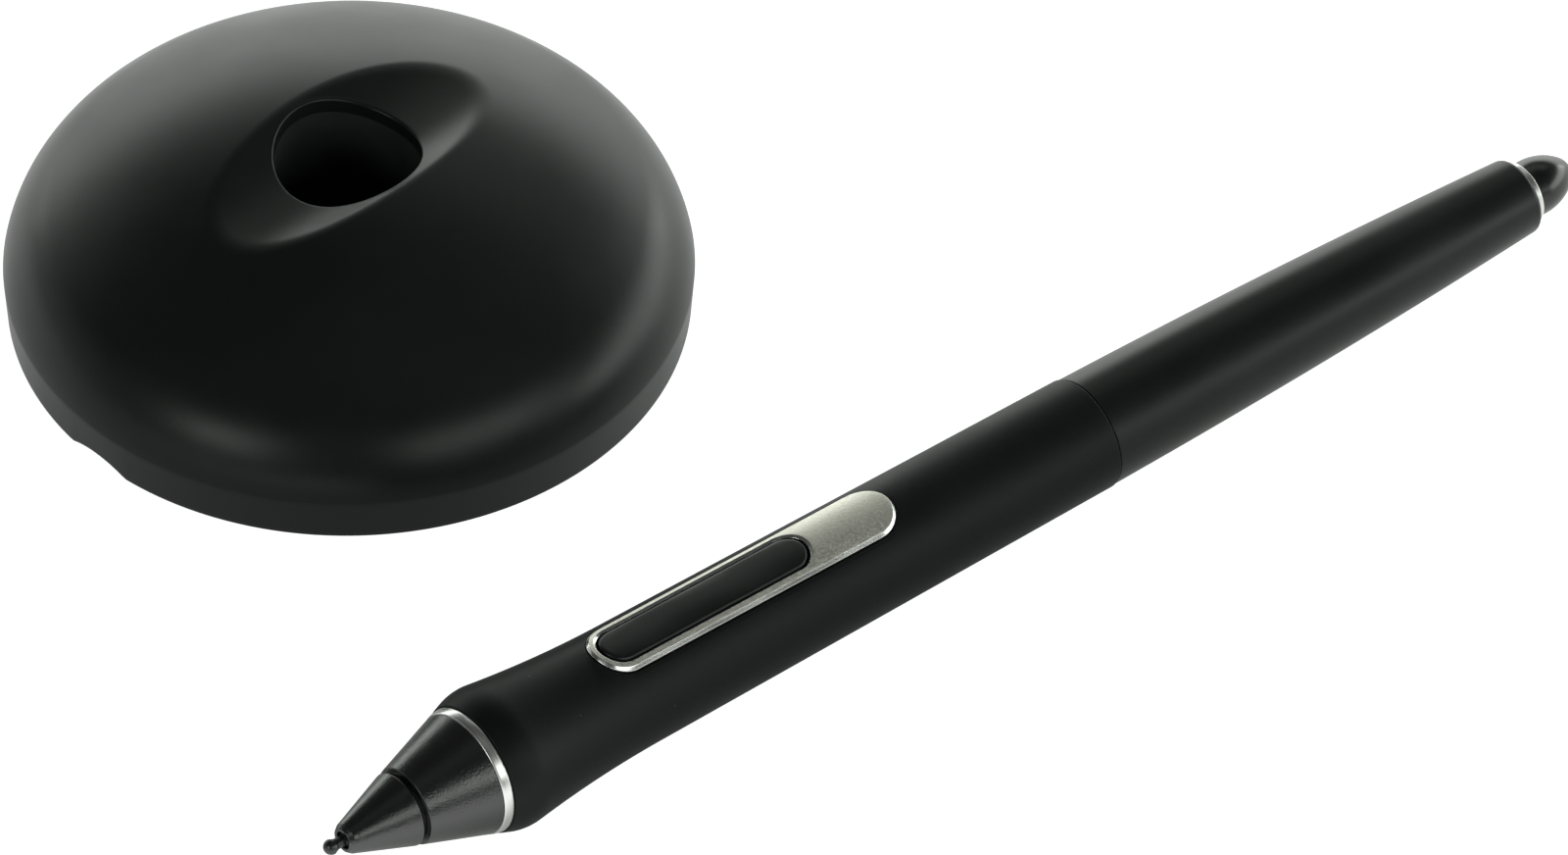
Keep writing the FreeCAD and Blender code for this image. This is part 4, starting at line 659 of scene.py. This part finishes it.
class PENSTAND_OT_nose(bpy.types.Operator):
    """Nib, two-piece nose and the bright ring behind it"""

    bl_idname = "penstand.nose"
    bl_label = "Nib and nose"

    def execute(self, context):
        """Turns four outlines of (radius, distance from the nib's point) about the barrel."""
        sizes = context.scene.pen_sizes
        ball = sizes.nib_ball
        shaft = 0.75 * MM            # radius of the nib behind its neck
        neck = 0.58 * MM             # and of the thin neck behind its ball
        nib_length = 22.0 * MM
        nib = np.concatenate([
            arc((0, ball), ball, -90, 0, 20),
            rounded([
                (ball, 1.05 * ball, 0.2 * MM), (neck, 1.7 * ball, 0.3 * MM),
                (neck, 2.8 * ball, 0.1 * MM), (shaft, 3.2 * ball, 0.15 * MM),
                (shaft, nib_length, 0.3 * MM), (0, nib_length, 0)], False)])
        pen_piece("nib_point", turned(nib, 48, False), "nib", "nib_black", ["nib"])

        show = sizes.nib_show
        split = sizes.nose_split
        bore = ball + 0.15 * MM      # room round the nib
        rim = (1.28 * MM, 1.62 * MM)             # radii of the small steep rim at the front
        widest = 3.95 * MM           # back of the tip's cone
        spigot = (3.4 * MM, 2.8 * MM)            # outside and bore of the part inside the cone
        step = split - sizes.nose_groove
        back = split + 2.2 * MM
        tip = rounded([
            (bore, show, 0.08 * MM), (rim[0], show, 0.12 * MM),
            (rim[1], show + 0.45 * MM, 0.15 * MM), (widest, step, 0.13 * MM),
            (spigot[0], step, 0), (spigot[0], back, 0.1 * MM), (spigot[1], back, 0.1 * MM),
            (2.4 * MM, 9.0 * MM, 0), (bore, 5.2 * MM, 0)])
        pen_piece("nose_tip_shell", turned(spaced(tip, LONGEST, True), SIDES), "pen_body",
                  "gloss_black", ["nose_tip"])

        end = sizes.nose_end
        front = split + 0.03 * MM
        seat = split + 2.35 * MM     # step inside, behind the tip's spigot
        socket, bore, thread = 3.45 * MM, 3.72 * MM, 4.36 * MM
        cone = rounded([
            (socket, front, 0), (4.12 * MM, front, 0.14 * MM), (6.45 * MM, end, 0.07 * MM),
            (thread, end, 0), (thread, end + 4.3 * MM, 0), (bore, end + 4.3 * MM, 0),
            (bore, seat, 0), (socket, seat, 0)])
        pen_piece("nose_cone_shell", turned(spaced(cone, LONGEST, True), SIDES), "pen_body",
                  "gloss_black", ["nose_cone"])

        length = sizes.ring_length
        inner = 4.42 * MM
        crown = bow((6.5 * MM, end + 0.1 * MM), (6.67 * MM, end + length - 0.08 * MM),
                    2.2 * MM, 8)
        ring = np.concatenate([
            [(inner, end + 0.04 * MM), (6.3 * MM, end + 0.04 * MM),
             (6.44 * MM, end + 0.05 * MM)],
            crown, [(6.62 * MM, end + length - 0.02 * MM), (6.5 * MM, end + length),
                    (inner, end + length)]])
        pen_piece("nose_ring_band", turned(ring, SIDES), "pen_body", "bright_silver",
                  ["nose_ring"])
        return {"FINISHED"}


class PENSTAND_OT_grip(bpy.types.Operator):
    """Rubber grip with its flare, hollow waist and the opening for the switch"""

    bl_idname = "penstand.grip"
    bl_label = "Grip"

    def execute(self, context):
        """Skin turned about the barrel, with a pill-shaped opening, given a wall inwards.

        The radius is a function of the distance along the barrel.  Round the opening the skin
        is a grid that runs from the opening's outline to a rectangle of turn and distance.
        """
        sizes = context.scene.pen_sizes
        switch = context.scene.switch_sizes
        start = sizes.nose_end + sizes.ring_length + 0.03 * MM
        end = sizes.grip_end
        edge = sizes.grip_edge
        flare = sizes.flare_radius
        waist = (6.37 * MM, 38.5 * MM)           # where the hollow turns into a slim cone
        crest = bow((flare - 0.3 * MM, 19.22 * MM), (flare - 0.047 * MM, 21.85 * MM),
                    6.0 * MM, 10)
        hollow = bow(crest[-1], waist, -134 * MM, 40)
        lip = rounded([(5.6 * MM, start, 0), (6.85 * MM, start, edge), (*crest[0], 0)], False)
        back = rounded([(*waist, 0), (sizes.grip_end_radius, end, edge), (5.4 * MM, end, 0)],
                       False)
        outline = np.concatenate([lip[:-1], crest, hollow[1:], back[1:]])
        skin = outline[(outline[:, 1] > start) & (outline[:, 1] < end)]

        def radius_at(height):
            """The skin's radius, read between the outline's points."""
            return np.interp(height, skin[:, 1], skin[:, 0])

        margin = 3 * MM              # panel beyond the trim at both ends
        low, high = switch.start - margin, switch.end + margin
        wide = math.radians(54)      # half of the panel's turn
        across, along, beside = 40, 130, 100     # steps of the panel each way, and of the rest
        heights = np.linspace(low, high, along + 1)
        panel_turn = np.linspace(-wide, wide, across + 1)
        other_turn = np.linspace(wide, 2 * math.pi - wide, beside + 1)
        turn = np.concatenate([panel_turn[:-1], other_turn[:-1]])
        rows = np.stack([radius_at(heights), heights], -1)
        before = spaced(outline[outline[:, 1] < low], LONGEST)
        after = spaced(np.concatenate([rows[-1:], outline[outline[:, 1] > high]]),
                       1.5 * MM)[1:]
        blocks = [
            (swept(rings[:, :1], rings[:, 1:], angles), wrap) for rings, angles, wrap in (
                (np.concatenate([before, rows[:1]]), turn, True), (rows, other_turn, False),
                (np.concatenate([rows[-1:], after]), turn, True))]

        # the panel round the opening: outline of the opening, then on to the rectangle
        gap = 0.05 * MM              # between the rubber and the trim
        rectangle = np.concatenate([
            np.stack([panel_turn[:-1], 0 * panel_turn[:-1] + low], -1),
            np.stack([0 * heights[:-1] + wide, heights[:-1]], -1),
            np.stack([panel_turn[:0:-1], 0 * panel_turn[1:] + high], -1),
            np.stack([0 * heights[:-1] - wide, heights[:0:-1]], -1)])

        def mouth(grown):
            """The opening's outline, grown by a distance all round."""
            return pill(switch.half + gap + grown, switch.start - gap - grown,
                        switch.end + gap + grown, across, along, across)

        def on_skin(flat, sunk):
            """Lifts (y, z) to the skin: x is the root of radius squared less y squared."""
            x = np.sqrt(radius_at(flat[:, 1]) ** 2 - flat[:, 0] ** 2) - sunk
            return np.stack([x, flat[:, 0], flat[:, 1]], -1)

        walls = [on_skin(mouth(0), sunk) for sunk in (0.9 * MM, 0.5 * MM)]
        walls += [on_skin(mouth(edge * (1 - math.cos(bend))), edge * (1 - math.sin(bend)))
                  for bend in np.radians([0, 22, 45, 68, 90])]
        outer_mouth = mouth(edge)
        mouth_turn = np.arcsin(outer_mouth[:, 0] / radius_at(outer_mouth[:, 1]))
        inner_loop = np.stack([mouth_turn, outer_mouth[:, 1]], -1)
        share = np.linspace(0, 1, 11)[1:, None, None]
        spread = (1 - share) * inner_loop + share * rectangle
        panel = swept(radius_at(spread[..., 1]), spread[..., 1], spread[..., 0])
        blocks.append((np.concatenate([np.stack(walls), panel])[::-1], True))

        points, polygons, count = [], [], 0
        for block, wrap in blocks:
            points.append(block.reshape(-1, 3))
            polygons.append(grid(*block.shape[:2], False, wrap) + count)
            count += len(points[-1])
        piece = pen_piece("grip_skin", (np.concatenate(points), polygons), "pen_body",
                          "grip_rubber", ["grip_sleeve"], weld=True)
        wall = piece.modifiers.new("Rubber wall", "SOLIDIFY")
        wall.thickness = 0.35 * MM
        wall.offset = -1
        return {"FINISHED"}


class PENSTAND_OT_barrel(bpy.types.Operator):
    """Soft-touch rear barrel, bright ferrule and eraser"""

    bl_idname = "penstand.barrel"
    bl_label = "Rear barrel and tail"

    def execute(self, context):
        """Turns the bowed barrel, the ferrule and the bullet-shaped eraser about the axis."""
        sizes = context.scene.pen_sizes
        start = sizes.grip_end + 0.1 * MM
        end = sizes.barrel_end
        side = bow((sizes.barrel_front, start), (sizes.barrel_back, end), 1250 * MM, 60)
        mouth = (4.86 * MM, start + 8.0 * MM)    # bore at the front, and how far it goes
        room, tube = 4.3 * MM, 3.45 * MM         # bore of the middle, and before the ferrule
        seat = (3.29 * MM, end - 2.4 * MM)       # bore round the ferrule, and its step
        front = rounded([(mouth[0], start, 0), (sizes.barrel_front, start, 0.1 * MM),
                         (*side[1], 0)], False)
        back = rounded([(*side[-3], 0), (sizes.barrel_back, end, sizes.barrel_edge),
                        (seat[0], end, 0.08 * MM), (*seat, 0)], False, 8)
        outline = np.concatenate([
            front[:-1], side[1:-3], back,
            [(tube, seat[1]), (tube, end - 33.6 * MM), (room, end - 34.6 * MM),
             (room, mouth[1]), mouth]])
        pen_piece("rear_barrel_shell", turned(outline, SIDES), "pen_body", "soft_black",
                  ["rear_barrel"])

        inner, outer = 3.0 * MM, 3.25 * MM
        front, back = end - 2.2 * MM, end + 0.7 * MM
        ferrule = rounded([(inner, front, 0), (outer, front, 0), (outer, back, 0.1 * MM),
                           (inner, back, 0.06 * MM)])
        pen_piece("tail_ring_band", turned(spaced(ferrule, LONGEST, True), 128), "pen_body",
                  "bright_silver", ["tail_ring"])

        # the bullet's profile is a long arc beside the tail and a shorter one round its end,
        # which meet at the same slope
        radius = sizes.eraser_radius
        side_radius = 6.0 * MM
        turn = 40.0
        cosine, sine = math.cos(math.radians(turn)), math.sin(math.radians(turn))
        tip_radius = (radius - side_radius * (1 - cosine)) / cosine
        tip_middle = sizes.length - tip_radius
        side_middle = tip_middle + tip_radius * sine - side_radius * sine
        stem, collar = 1.2 * MM, 3.35 * MM       # radii of the parts inside the barrel
        flange = end - 3.2 * MM
        body = np.concatenate([
            [(0, flange - 13.2 * MM), (stem, flange - 13.2 * MM), (stem, flange - MM),
             (collar, flange - MM), (collar, flange), (radius, flange),
             (radius, flange + 0.1 * MM)],
            spaced(np.array([(radius, flange + 0.2 * MM), (radius, side_middle)]), LONGEST),
            arc((radius - side_radius, side_middle), side_radius, 0, turn, 16)[1:],
            arc((0, tip_middle), tip_radius, turn, 90, 24)[1:]])
        body[-1, 0] = 0
        pen_piece("eraser_bullet", turned(body, 96, False), "eraser", "gloss_black",
                  ["eraser_cap"], ["eraser_black"])
        return {"FINISHED"}


class PENSTAND_OT_switch(bpy.types.Operator):
    """Silver trim with its polished chamfers, and the rocker button"""

    bl_idname = "penstand.switch"
    bl_label = "Rocker switch"

    def execute(self, context):
        """Two pill-shaped solids whose tops follow the same slim cone.

        A point at (y, z) lies on the top at the square root of the cone's radius squared less y
        squared.  The trim's loops run up its outer wall, over the face, down its inner wall and
        back underneath.  The rocker's run from the middle line of its flat floor out to its
        outline, up its side and over its rounded edge to the middle line of its top, which two
        shallow dishes hollow by a squared sine.
        """
        switch = context.scene.switch_sizes
        ends, sides = 36, 90
        length = switch.end - switch.start

        def top(flat, sunk):
            """Lifts (y, z) to the cone: x is the root of radius squared less y squared."""
            radius = switch.front_radius + (switch.back_radius - switch.front_radius) * (
                flat[..., 1] - switch.start) / length
            x = np.sqrt(radius ** 2 - flat[..., 0] ** 2) - sunk
            return np.stack([x, flat[..., 0], flat[..., 1]], -1)

        def outer(inset):
            """The trim's outline, inset all round."""
            return pill(switch.half - inset, switch.start + inset, switch.end - inset, ends,
                        sides, ends)

        opening_half = switch.half - switch.rim
        opening_start = switch.start + switch.rim
        opening_end = switch.rocker_end + 2 * switch.gap

        def inner(grown):
            """The outline of the opening for the rocker, grown all round."""
            return pill(opening_half + grown, opening_start - grown, opening_end + grown, ends,
                        sides, ends)

        cut = switch.chamfer
        soft = 0.03 * MM             # rounding where a chamfer meets its neighbours
        sliver = 0.004 * MM          # drop of the chamfer's upper edge below the face
        under = 0.05 * MM            # start of the wall below the chamfer
        deep = 1.05 * MM             # thickness of the trim
        face_loops = 25
        share = np.linspace(0, 1, face_loops)[:, None, None]
        face = (1 - share) * outer(cut + soft) + share * inner(cut + soft)
        bottom = share[::-4] * inner(0) + (1 - share[::-4]) * outer(0)
        rise = [top(outer(0), deep), top(outer(0), cut + under), top(outer(0), cut),
                top(outer(soft), cut - soft), top(outer(cut - soft), soft),
                top(outer(cut), sliver)]
        fall = [top(inner(cut), sliver), top(inner(cut - soft), soft),
                top(inner(soft), cut - soft), top(inner(0), cut),
                top(inner(0), cut + under), top(inner(0), deep)]
        loops = np.concatenate([rise, top(face, 0), fall, top(bottom, deep)[1:-1]])
        count, columns = loops.shape[:2]
        surface = loops.reshape(-1, 3), [grid(count, columns, True, True)]
        trim = pen_piece("switch_trim", surface, "pen_body", "satin_silver",
                         ["switch_bezel", "switch_plate"], ["satin_silver", "polished_silver"])
        row = np.repeat(np.arange(count), columns)
        inside = row - (len(rise) - 1 + face_loops)
        polished = (row < len(rise) - 1) | ((inside >= 0) & (inside < len(fall)))
        trim.data.polygons.foreach_set("material_index", polished.astype(np.int32))

        half = opening_half - switch.gap
        start = opening_start + 2 * switch.gap
        end = switch.rocker_end
        outline = pill(half, start, end, ends, sides, ends)
        middle = np.stack([0 * outline[:, 0], np.clip(outline[:, 1], start + half, end - half)],
                          -1)
        edge = switch.rocker_edge
        inset = np.concatenate([edge * (1 - np.cos(np.radians(np.arange(0, 91, 15)))),
                                np.linspace(edge, half, 12)[1:]])
        part = (inset / half)[:, None, None]
        flat = (1 - part) * outline + part * middle
        fallen = edge - np.sqrt(np.maximum(edge ** 2 - np.maximum(edge - inset, 0) ** 2, 0))
        along = (flat[..., 1] - (start + end) / 2) / ((end - start) / 2)
        dish = switch.rocker_dish * (1 - np.clip(flat[..., 0] / half, -1, 1) ** 2) * np.sin(
            np.clip(np.abs(along), 0, 1) * math.pi) ** 2
        lower = 0.08 * MM            # the rocker's top below the trim's
        pad = top(flat, lower + fallen[:, None] + dish)
        floor = top(np.stack([middle, outline]), 0)
        floor[..., 0] = switch.rocker_floor
        share = np.array([0.05, 0.5, 0.95])[:, None, None]
        skirt = (1 - share) * floor[1] + share * pad[0]
        loops = np.concatenate([floor, skirt, pad])
        pen_piece("rocker_pad", (loops.reshape(-1, 3), [grid(*loops.shape[:2], False, True)]),
                  "rocker", "satin_black", ["rocker_button"], weld=True)
        return {"FINISHED"}


class PENSTAND_OT_stand(bpy.types.Operator):
    """Domed stand with its socket, the soft trough across it and the finger notch"""

    bl_idname = "penstand.stand"
    bl_label = "Stand dome"

    def execute(self, context):
        """A closed shell on a grid of turn and place along its profile.

        The top is the lower of the dome and of a lying cylinder, blended: where the two heights
        differ by less than the blend, the sharp edge between them becomes a parabola.
        """
        sizes = context.scene.stand_sizes
        sides = 420
        angles = np.arange(sides) * 2 * math.pi / sides
        wall = sizes.radius

        # The profile is three arcs that meet at the same slope: the wall's edge, the shoulder
        # and the crown, whose centre is on the axis.
        wall_turn, crown_turn = 10.0, 55.4       # degrees at which one arc takes over
        edge_x = wall - sizes.wall_edge
        step = sizes.wall_edge - sizes.shoulder
        shoulder_x = edge_x + step * math.cos(math.radians(wall_turn))
        shoulder_z = sizes.wall_top + step * math.sin(math.radians(wall_turn))
        crown_x = shoulder_x + sizes.shoulder * math.cos(math.radians(crown_turn))
        crown_z = shoulder_z + sizes.shoulder * math.sin(math.radians(crown_turn))
        crown_radius = crown_x / math.cos(math.radians(crown_turn))
        crown_middle = crown_z - crown_radius * math.sin(math.radians(crown_turn))
        lip = sizes.socket_lip
        mouth = sizes.socket + lip
        first = math.degrees(math.acos(mouth / crown_radius))
        rise = np.concatenate([
            arc((edge_x, sizes.wall_top), sizes.wall_edge, 0, wall_turn, 3),
            arc((shoulder_x, shoulder_z), sizes.shoulder, wall_turn, crown_turn, 30)[1:],
            arc((0, crown_middle), crown_radius, crown_turn, first, 90)[1:]])
        radius = rise[:, :1] + 0 * angles
        height = rise[:, 1:] + 0 * angles

        # the trough: a cylinder that lies across the top, and far above it beyond its sides
        heading = sizes.trough_turn
        beside = np.abs(radius * np.sin(angles) * math.cos(heading)
                        - radius * np.cos(angles) * math.sin(heading))
        bottom = crown_middle + crown_radius - sizes.trough_depth
        widest, far_above = sizes.trough_radius * 0.999, 1.0
        reach = np.minimum(beside, widest)
        trough = bottom + sizes.trough_radius - np.sqrt(sizes.trough_radius ** 2 - reach ** 2)
        trough = np.where(beside < widest, trough, far_above)
        blend = sizes.trough_blend
        near = np.maximum(blend - np.abs(height - trough), 0) / blend
        height = np.minimum(height, trough) - near ** 2 * blend / 4

        # lower edge, raised where the finger notch is, and the wall, which leans in by draft
        toward = np.abs(np.angle(np.exp(1j * (angles - sizes.notch_turn)))) * wall
        half, tall = sizes.notch_width / 2, sizes.notch_height
        notch_radius = (half ** 2 + tall ** 2) / (2 * tall)
        notch = np.sqrt(np.maximum(notch_radius ** 2 - toward ** 2, 0)) - notch_radius + tall
        low = sizes.skirt_lift + np.maximum(notch, 0)
        draft = 0.33 * MM
        curl = 0.25 * MM             # rounding of the lower edge
        turn = np.radians([-90, -68, -45, -22, 0])[:, None]
        skirt_r = wall - draft - curl + curl * np.cos(turn)
        skirt_h = low + curl + curl * np.sin(turn)
        share = np.linspace(0, 1, 10)[1:-1, None]
        wall_r = wall - draft * (1 - share)
        wall_h = (low + curl) * (1 - share) + sizes.wall_top * share

        # inside: socket's lip and tube, ceiling, inner dome and inner wall
        shell = 2.2 * MM             # thickness of the wall
        inner_wall = shoulder_x + sizes.shoulder - shell
        ceiling = bottom - 2.1 * MM
        inner_crown = crown_radius - shell
        ceiling_x = math.sqrt(inner_crown ** 2 - (ceiling - crown_middle) ** 2)
        ceiling_turn = math.degrees(math.acos(ceiling_x / inner_crown))
        fall = np.radians(np.linspace(75, 0, 6))[:, None]
        lip_r = mouth - lip * np.cos(fall)
        lip_h = height[-1] - lip * (1 - np.sin(fall))
        floor = 2.2 * MM             # height of the tube's lower end
        ease = 0.2 * MM              # chamfers of the tube's ends
        tube = np.linspace(0, 1, 14)[1:, None]
        tube_h = lip_h[-1] * (1 - tube) + (floor + ease) * tube
        out = sizes.socket + 1.2 * MM            # outside of the tube
        inside = np.concatenate([
            [(sizes.socket + 0.06 * MM, floor + 0.05 * MM), (sizes.socket + ease, floor),
             (out - ease, floor), (out, floor + ease), (out, ceiling - 0.6 * MM),
             (out + ease, ceiling - 0.15 * MM), (out + 0.7 * MM, ceiling),
             (ceiling_x - 0.3 * MM, ceiling)],
            arc((0, crown_middle), inner_crown, ceiling_turn, crown_turn, 16),
            arc((shoulder_x, shoulder_z), sizes.shoulder - shell, crown_turn, 0, 14)[1:]])
        share = np.linspace(1, 0, 6)[1:, None]
        inner_h = low * (1 - share) + shoulder_z * share
        visible = [swept(skirt_r, skirt_h, angles), swept(wall_r, wall_h, angles),
                   swept(radius, height, angles), swept(lip_r, lip_h, angles)]
        loops = np.concatenate([
            *visible, swept(sizes.socket, tube_h, angles),
            swept(inside[:, :1], inside[:, 1:], angles), swept(inner_wall, inner_h, angles)])
        points = [loops.reshape(-1, 3)]
        polygons = [grid(*loops.shape[:2], True, True)]
        lacquered = sum(len(loop) for loop in visible) * sides

        # bayonet lugs inside the wall, each a closed block bent round the middle
        collar = inner_wall - 1.42 * MM
        buried = inner_wall + 0.3 * MM
        section = rounded([(collar, 2.4 * MM, 0.15 * MM), (buried, 2.4 * MM, 0),
                           (buried, 3.8 * MM, 0), (collar, 3.8 * MM, 0.15 * MM)])
        lugs, lug_turn, half_turn = 3, 26, 12
        begun = len(points[0])
        for lug in range(lugs):
            bend = np.radians(lug_turn + 360 / lugs * lug
                              + np.linspace(-half_turn, half_turn, 17))[:, None]
            body = swept(section[:, 0], section[:, 1], bend)
            skin = grid(len(bend), len(section), False, True)[:, ::-1]
            caps = np.stack([np.arange(len(section)),
                             np.arange(len(section))[::-1] + (len(bend) - 1) * len(section)])
            points.append(body.reshape(-1, 3))
            polygons += [skin + begun, caps + begun]
            begun += len(points[-1])
        dome = add_piece("stand_dome", (np.concatenate(points), polygons), "stand_top",
                         "soft_black", ["stand_top"], ["soft_black", "dark_inner_plastic"])
        bare = np.arange(len(dome.data.polygons)) >= lacquered
        dome.data.polygons.foreach_set("material_index", bare.astype(np.int32))
        return {"FINISHED"}


class PENSTAND_OT_inside(bpy.types.Operator):
    """Finishes of the stand's base, tray and spare nibs, and of the parts inside the pen"""

    bl_idname = "penstand.inside"
    bl_label = "Carried-over parts"

    def execute(self, context):
        """Paints every CAD node that no new piece stands for."""
        repaint([name for name, node in frame["nodes"].items() if not node.hide_render])
        return {"FINISHED"}


# Soft boxes: name, turn from the camera and height in degrees, distance, width, depth, brightness
SOFT_BOXES = (
    ("Back wall", 180, 9, 1.5, 3.4, 0.7, 2.6),
    ("Back soft box", 165, 46, 1.3, 1.1, 0.35, 0.6),
    ("Left wall", -112, 12, 1.5, 1.6, 0.6, 0.4),
    ("Right wall", 106, 9, 1.5, 1.8, 0.5, 4.0),
    ("Left soft box", -42, 24, 1.2, 0.5, 0.4, 3.8),
    ("Right soft box", 42, 27, 1.2, 1.0, 0.45, 2.5),
    ("Overhead soft box", 20, 80, 1.4, 0.9, 0.5, 0.12),
)
GLOW_BAND = (-0.11, 0.05)    # the part of the table, from front to back, where its glow changes
TABLE_REACH = 6.0            # half of the table's width
TABLE_DROP = 0.02 * MM       # the table's top below the pieces that stand on it


class PENSTAND_OT_studio(bpy.types.Operator):
    """Opal light table, soft boxes and the camera"""

    bl_idname = "penstand.studio"
    bl_label = "Studio"

    def execute(self, context):
        """Places the camera on a sphere round its target, and lights at turns from it."""
        scene = context.scene
        studio = scene.pen_studio
        target = Vector((*studio.target, 0))

        def facing(thing, azimuth, elevation, distance):
            """Puts a thing on a sphere round the target, turned to look at it."""
            away = Vector((math.sin(azimuth) * math.cos(elevation),
                           -math.cos(azimuth) * math.cos(elevation), math.sin(elevation)))
            thing.location = target + away * distance
            thing.rotation_euler = away.to_track_quat("Z", "Y").to_euler()
            scene.collection.objects.link(thing)

        lens = bpy.data.cameras.new("Studio camera")
        lens.lens = studio.lens
        lens.sensor_width = 36.0
        lens.clip_start = 0.05
        lens.clip_end = 50.0
        camera = bpy.data.objects.new("Studio camera", lens)
        facing(camera, studio.azimuth, studio.elevation, studio.distance)
        scene.camera = camera

        for name, turn, height, away, width, depth, brightness in SOFT_BOXES:
            light = bpy.data.lights.new(name, "AREA")
            light.shape = "RECTANGLE"
            light.size = width
            light.size_y = depth
            light.energy = brightness * math.pi * width * depth
            light.color = studio.light
            box = bpy.data.objects.new(name, light)
            box.visible_camera = False
            facing(box, studio.azimuth + math.radians(turn), math.radians(height), away)

        world = bpy.data.worlds.new("Dark studio")
        world.use_nodes = True
        background = world.node_tree.nodes["Background"]
        background.inputs["Color"].default_value = (1, 1, 1, 1)
        background.inputs["Strength"].default_value = studio.surround
        scene.world = world
        scene.view_settings.view_transform = "Standard"

        # Opal acrylic lit from below is an even white without hard shadows.  It lights the
        # pieces less than it looks, by a glow that changes from the table's front to its back.
        acrylic, tree, shader = new_material("Opal acrylic, lit from below", {
            "Roughness": 0.8, "Base Color": (*studio.floor, 1),
            "Emission Color": (*studio.floor, 1)})
        place = add_node(tree, "ShaderNodeTexCoord").outputs["Object"]
        turned_place = add_node(tree, "ShaderNodeMapping", {
            "vector_type": "TEXTURE", "Rotation": (0, 0, studio.azimuth)}, {"Vector": place})
        away = add_node(tree, "ShaderNodeSeparateXYZ", {},
                        {"Vector": turned_place.outputs["Vector"]}).outputs["Y"]
        along = add_node(tree, "ShaderNodeMapRange", {
            "From Min": GLOW_BAND[0], "From Max": GLOW_BAND[1]}, {"Value": away})
        falling = add_node(tree, "ShaderNodeValToRGB", {}, {"Fac": along.outputs["Result"]})
        stops = falling.color_ramp.elements
        for spot, level in ((0.12, studio.glow_front), (0.19, studio.glow_middle),
                            (0.42, studio.glow_middle), (0.95, studio.glow_behind)):
            stops.new(spot).color = (level, level, level, 1)
        stops.remove(stops[0])
        stops.remove(stops[-1])
        seen = add_node(tree, "ShaderNodeLightPath").outputs["Is Camera Ray"]
        glow = add_node(tree, "ShaderNodeMapRange", {"To Max": 1.0},
                        {"Value": seen, "To Min": falling.outputs["Color"]})
        tree.links.new(glow.outputs["Result"], shader.inputs["Emission Strength"])
        mesh = bpy.data.meshes.new("Table")
        mesh.from_pydata([(TABLE_REACH * x, TABLE_REACH * y, -TABLE_DROP)
                          for x, y in ((-1, -1), (1, -1), (1, 1), (-1, 1))], [], [(0, 1, 2, 3)])
        mesh.materials.append(acrylic)
        table = bpy.data.objects.new("Table", mesh)
        scene.collection.objects.link(table)
        return {"FINISHED"}


OPERATORS = (
    PENSTAND_OT_nose,
    PENSTAND_OT_grip,
    PENSTAND_OT_barrel,
    PENSTAND_OT_switch,
    PENSTAND_OT_stand,
    PENSTAND_OT_inside,
    PENSTAND_OT_studio,
)


class PENSTAND_PT_panel(bpy.types.Panel):
    """Lists the operators and the sizes and colours that they read."""

    bl_idname = "PENSTAND_PT_panel"
    bl_label = "Pen and stand"
    bl_space_type = "VIEW_3D"
    bl_region_type = "UI"
    bl_category = "Pen and stand"

    def draw(self, context):
        """Draws one button for each operator, then every property of each group."""
        layout = self.layout
        for operator in OPERATORS:
            layout.operator(operator.bl_idname)
        for title in SETTINGS:
            group = getattr(context.scene, title)
            box = layout.box()
            for prop in group.bl_rna.properties:
                if prop.identifier not in ("rna_type", "name"):
                    box.prop(group, prop.identifier)


def register():
    """Registers the groups, operators and panel, and hangs the groups on the scene."""
    for title, group in SETTINGS.items():
        bpy.utils.register_class(group)
        setattr(bpy.types.Scene, title, PointerProperty(type=group))
    for operator in OPERATORS:
        bpy.utils.register_class(operator)
    bpy.utils.register_class(PENSTAND_PT_panel)


def unregister():
    """Takes everything off again, in the opposite order."""
    bpy.utils.unregister_class(PENSTAND_PT_panel)
    for operator in reversed(OPERATORS):
        bpy.utils.unregister_class(operator)
    for title, group in reversed(SETTINGS.items()):
        delattr(bpy.types.Scene, title)
        bpy.utils.unregister_class(group)


def main():
    """Builds the whole scene."""
    register()
    bpy.ops.penstand.nose()
    bpy.ops.penstand.grip()
    bpy.ops.penstand.barrel()
    bpy.ops.penstand.switch()
    bpy.ops.penstand.stand()
    bpy.ops.penstand.inside()
    bpy.ops.penstand.studio()


if __name__ == "__main__":
    main()
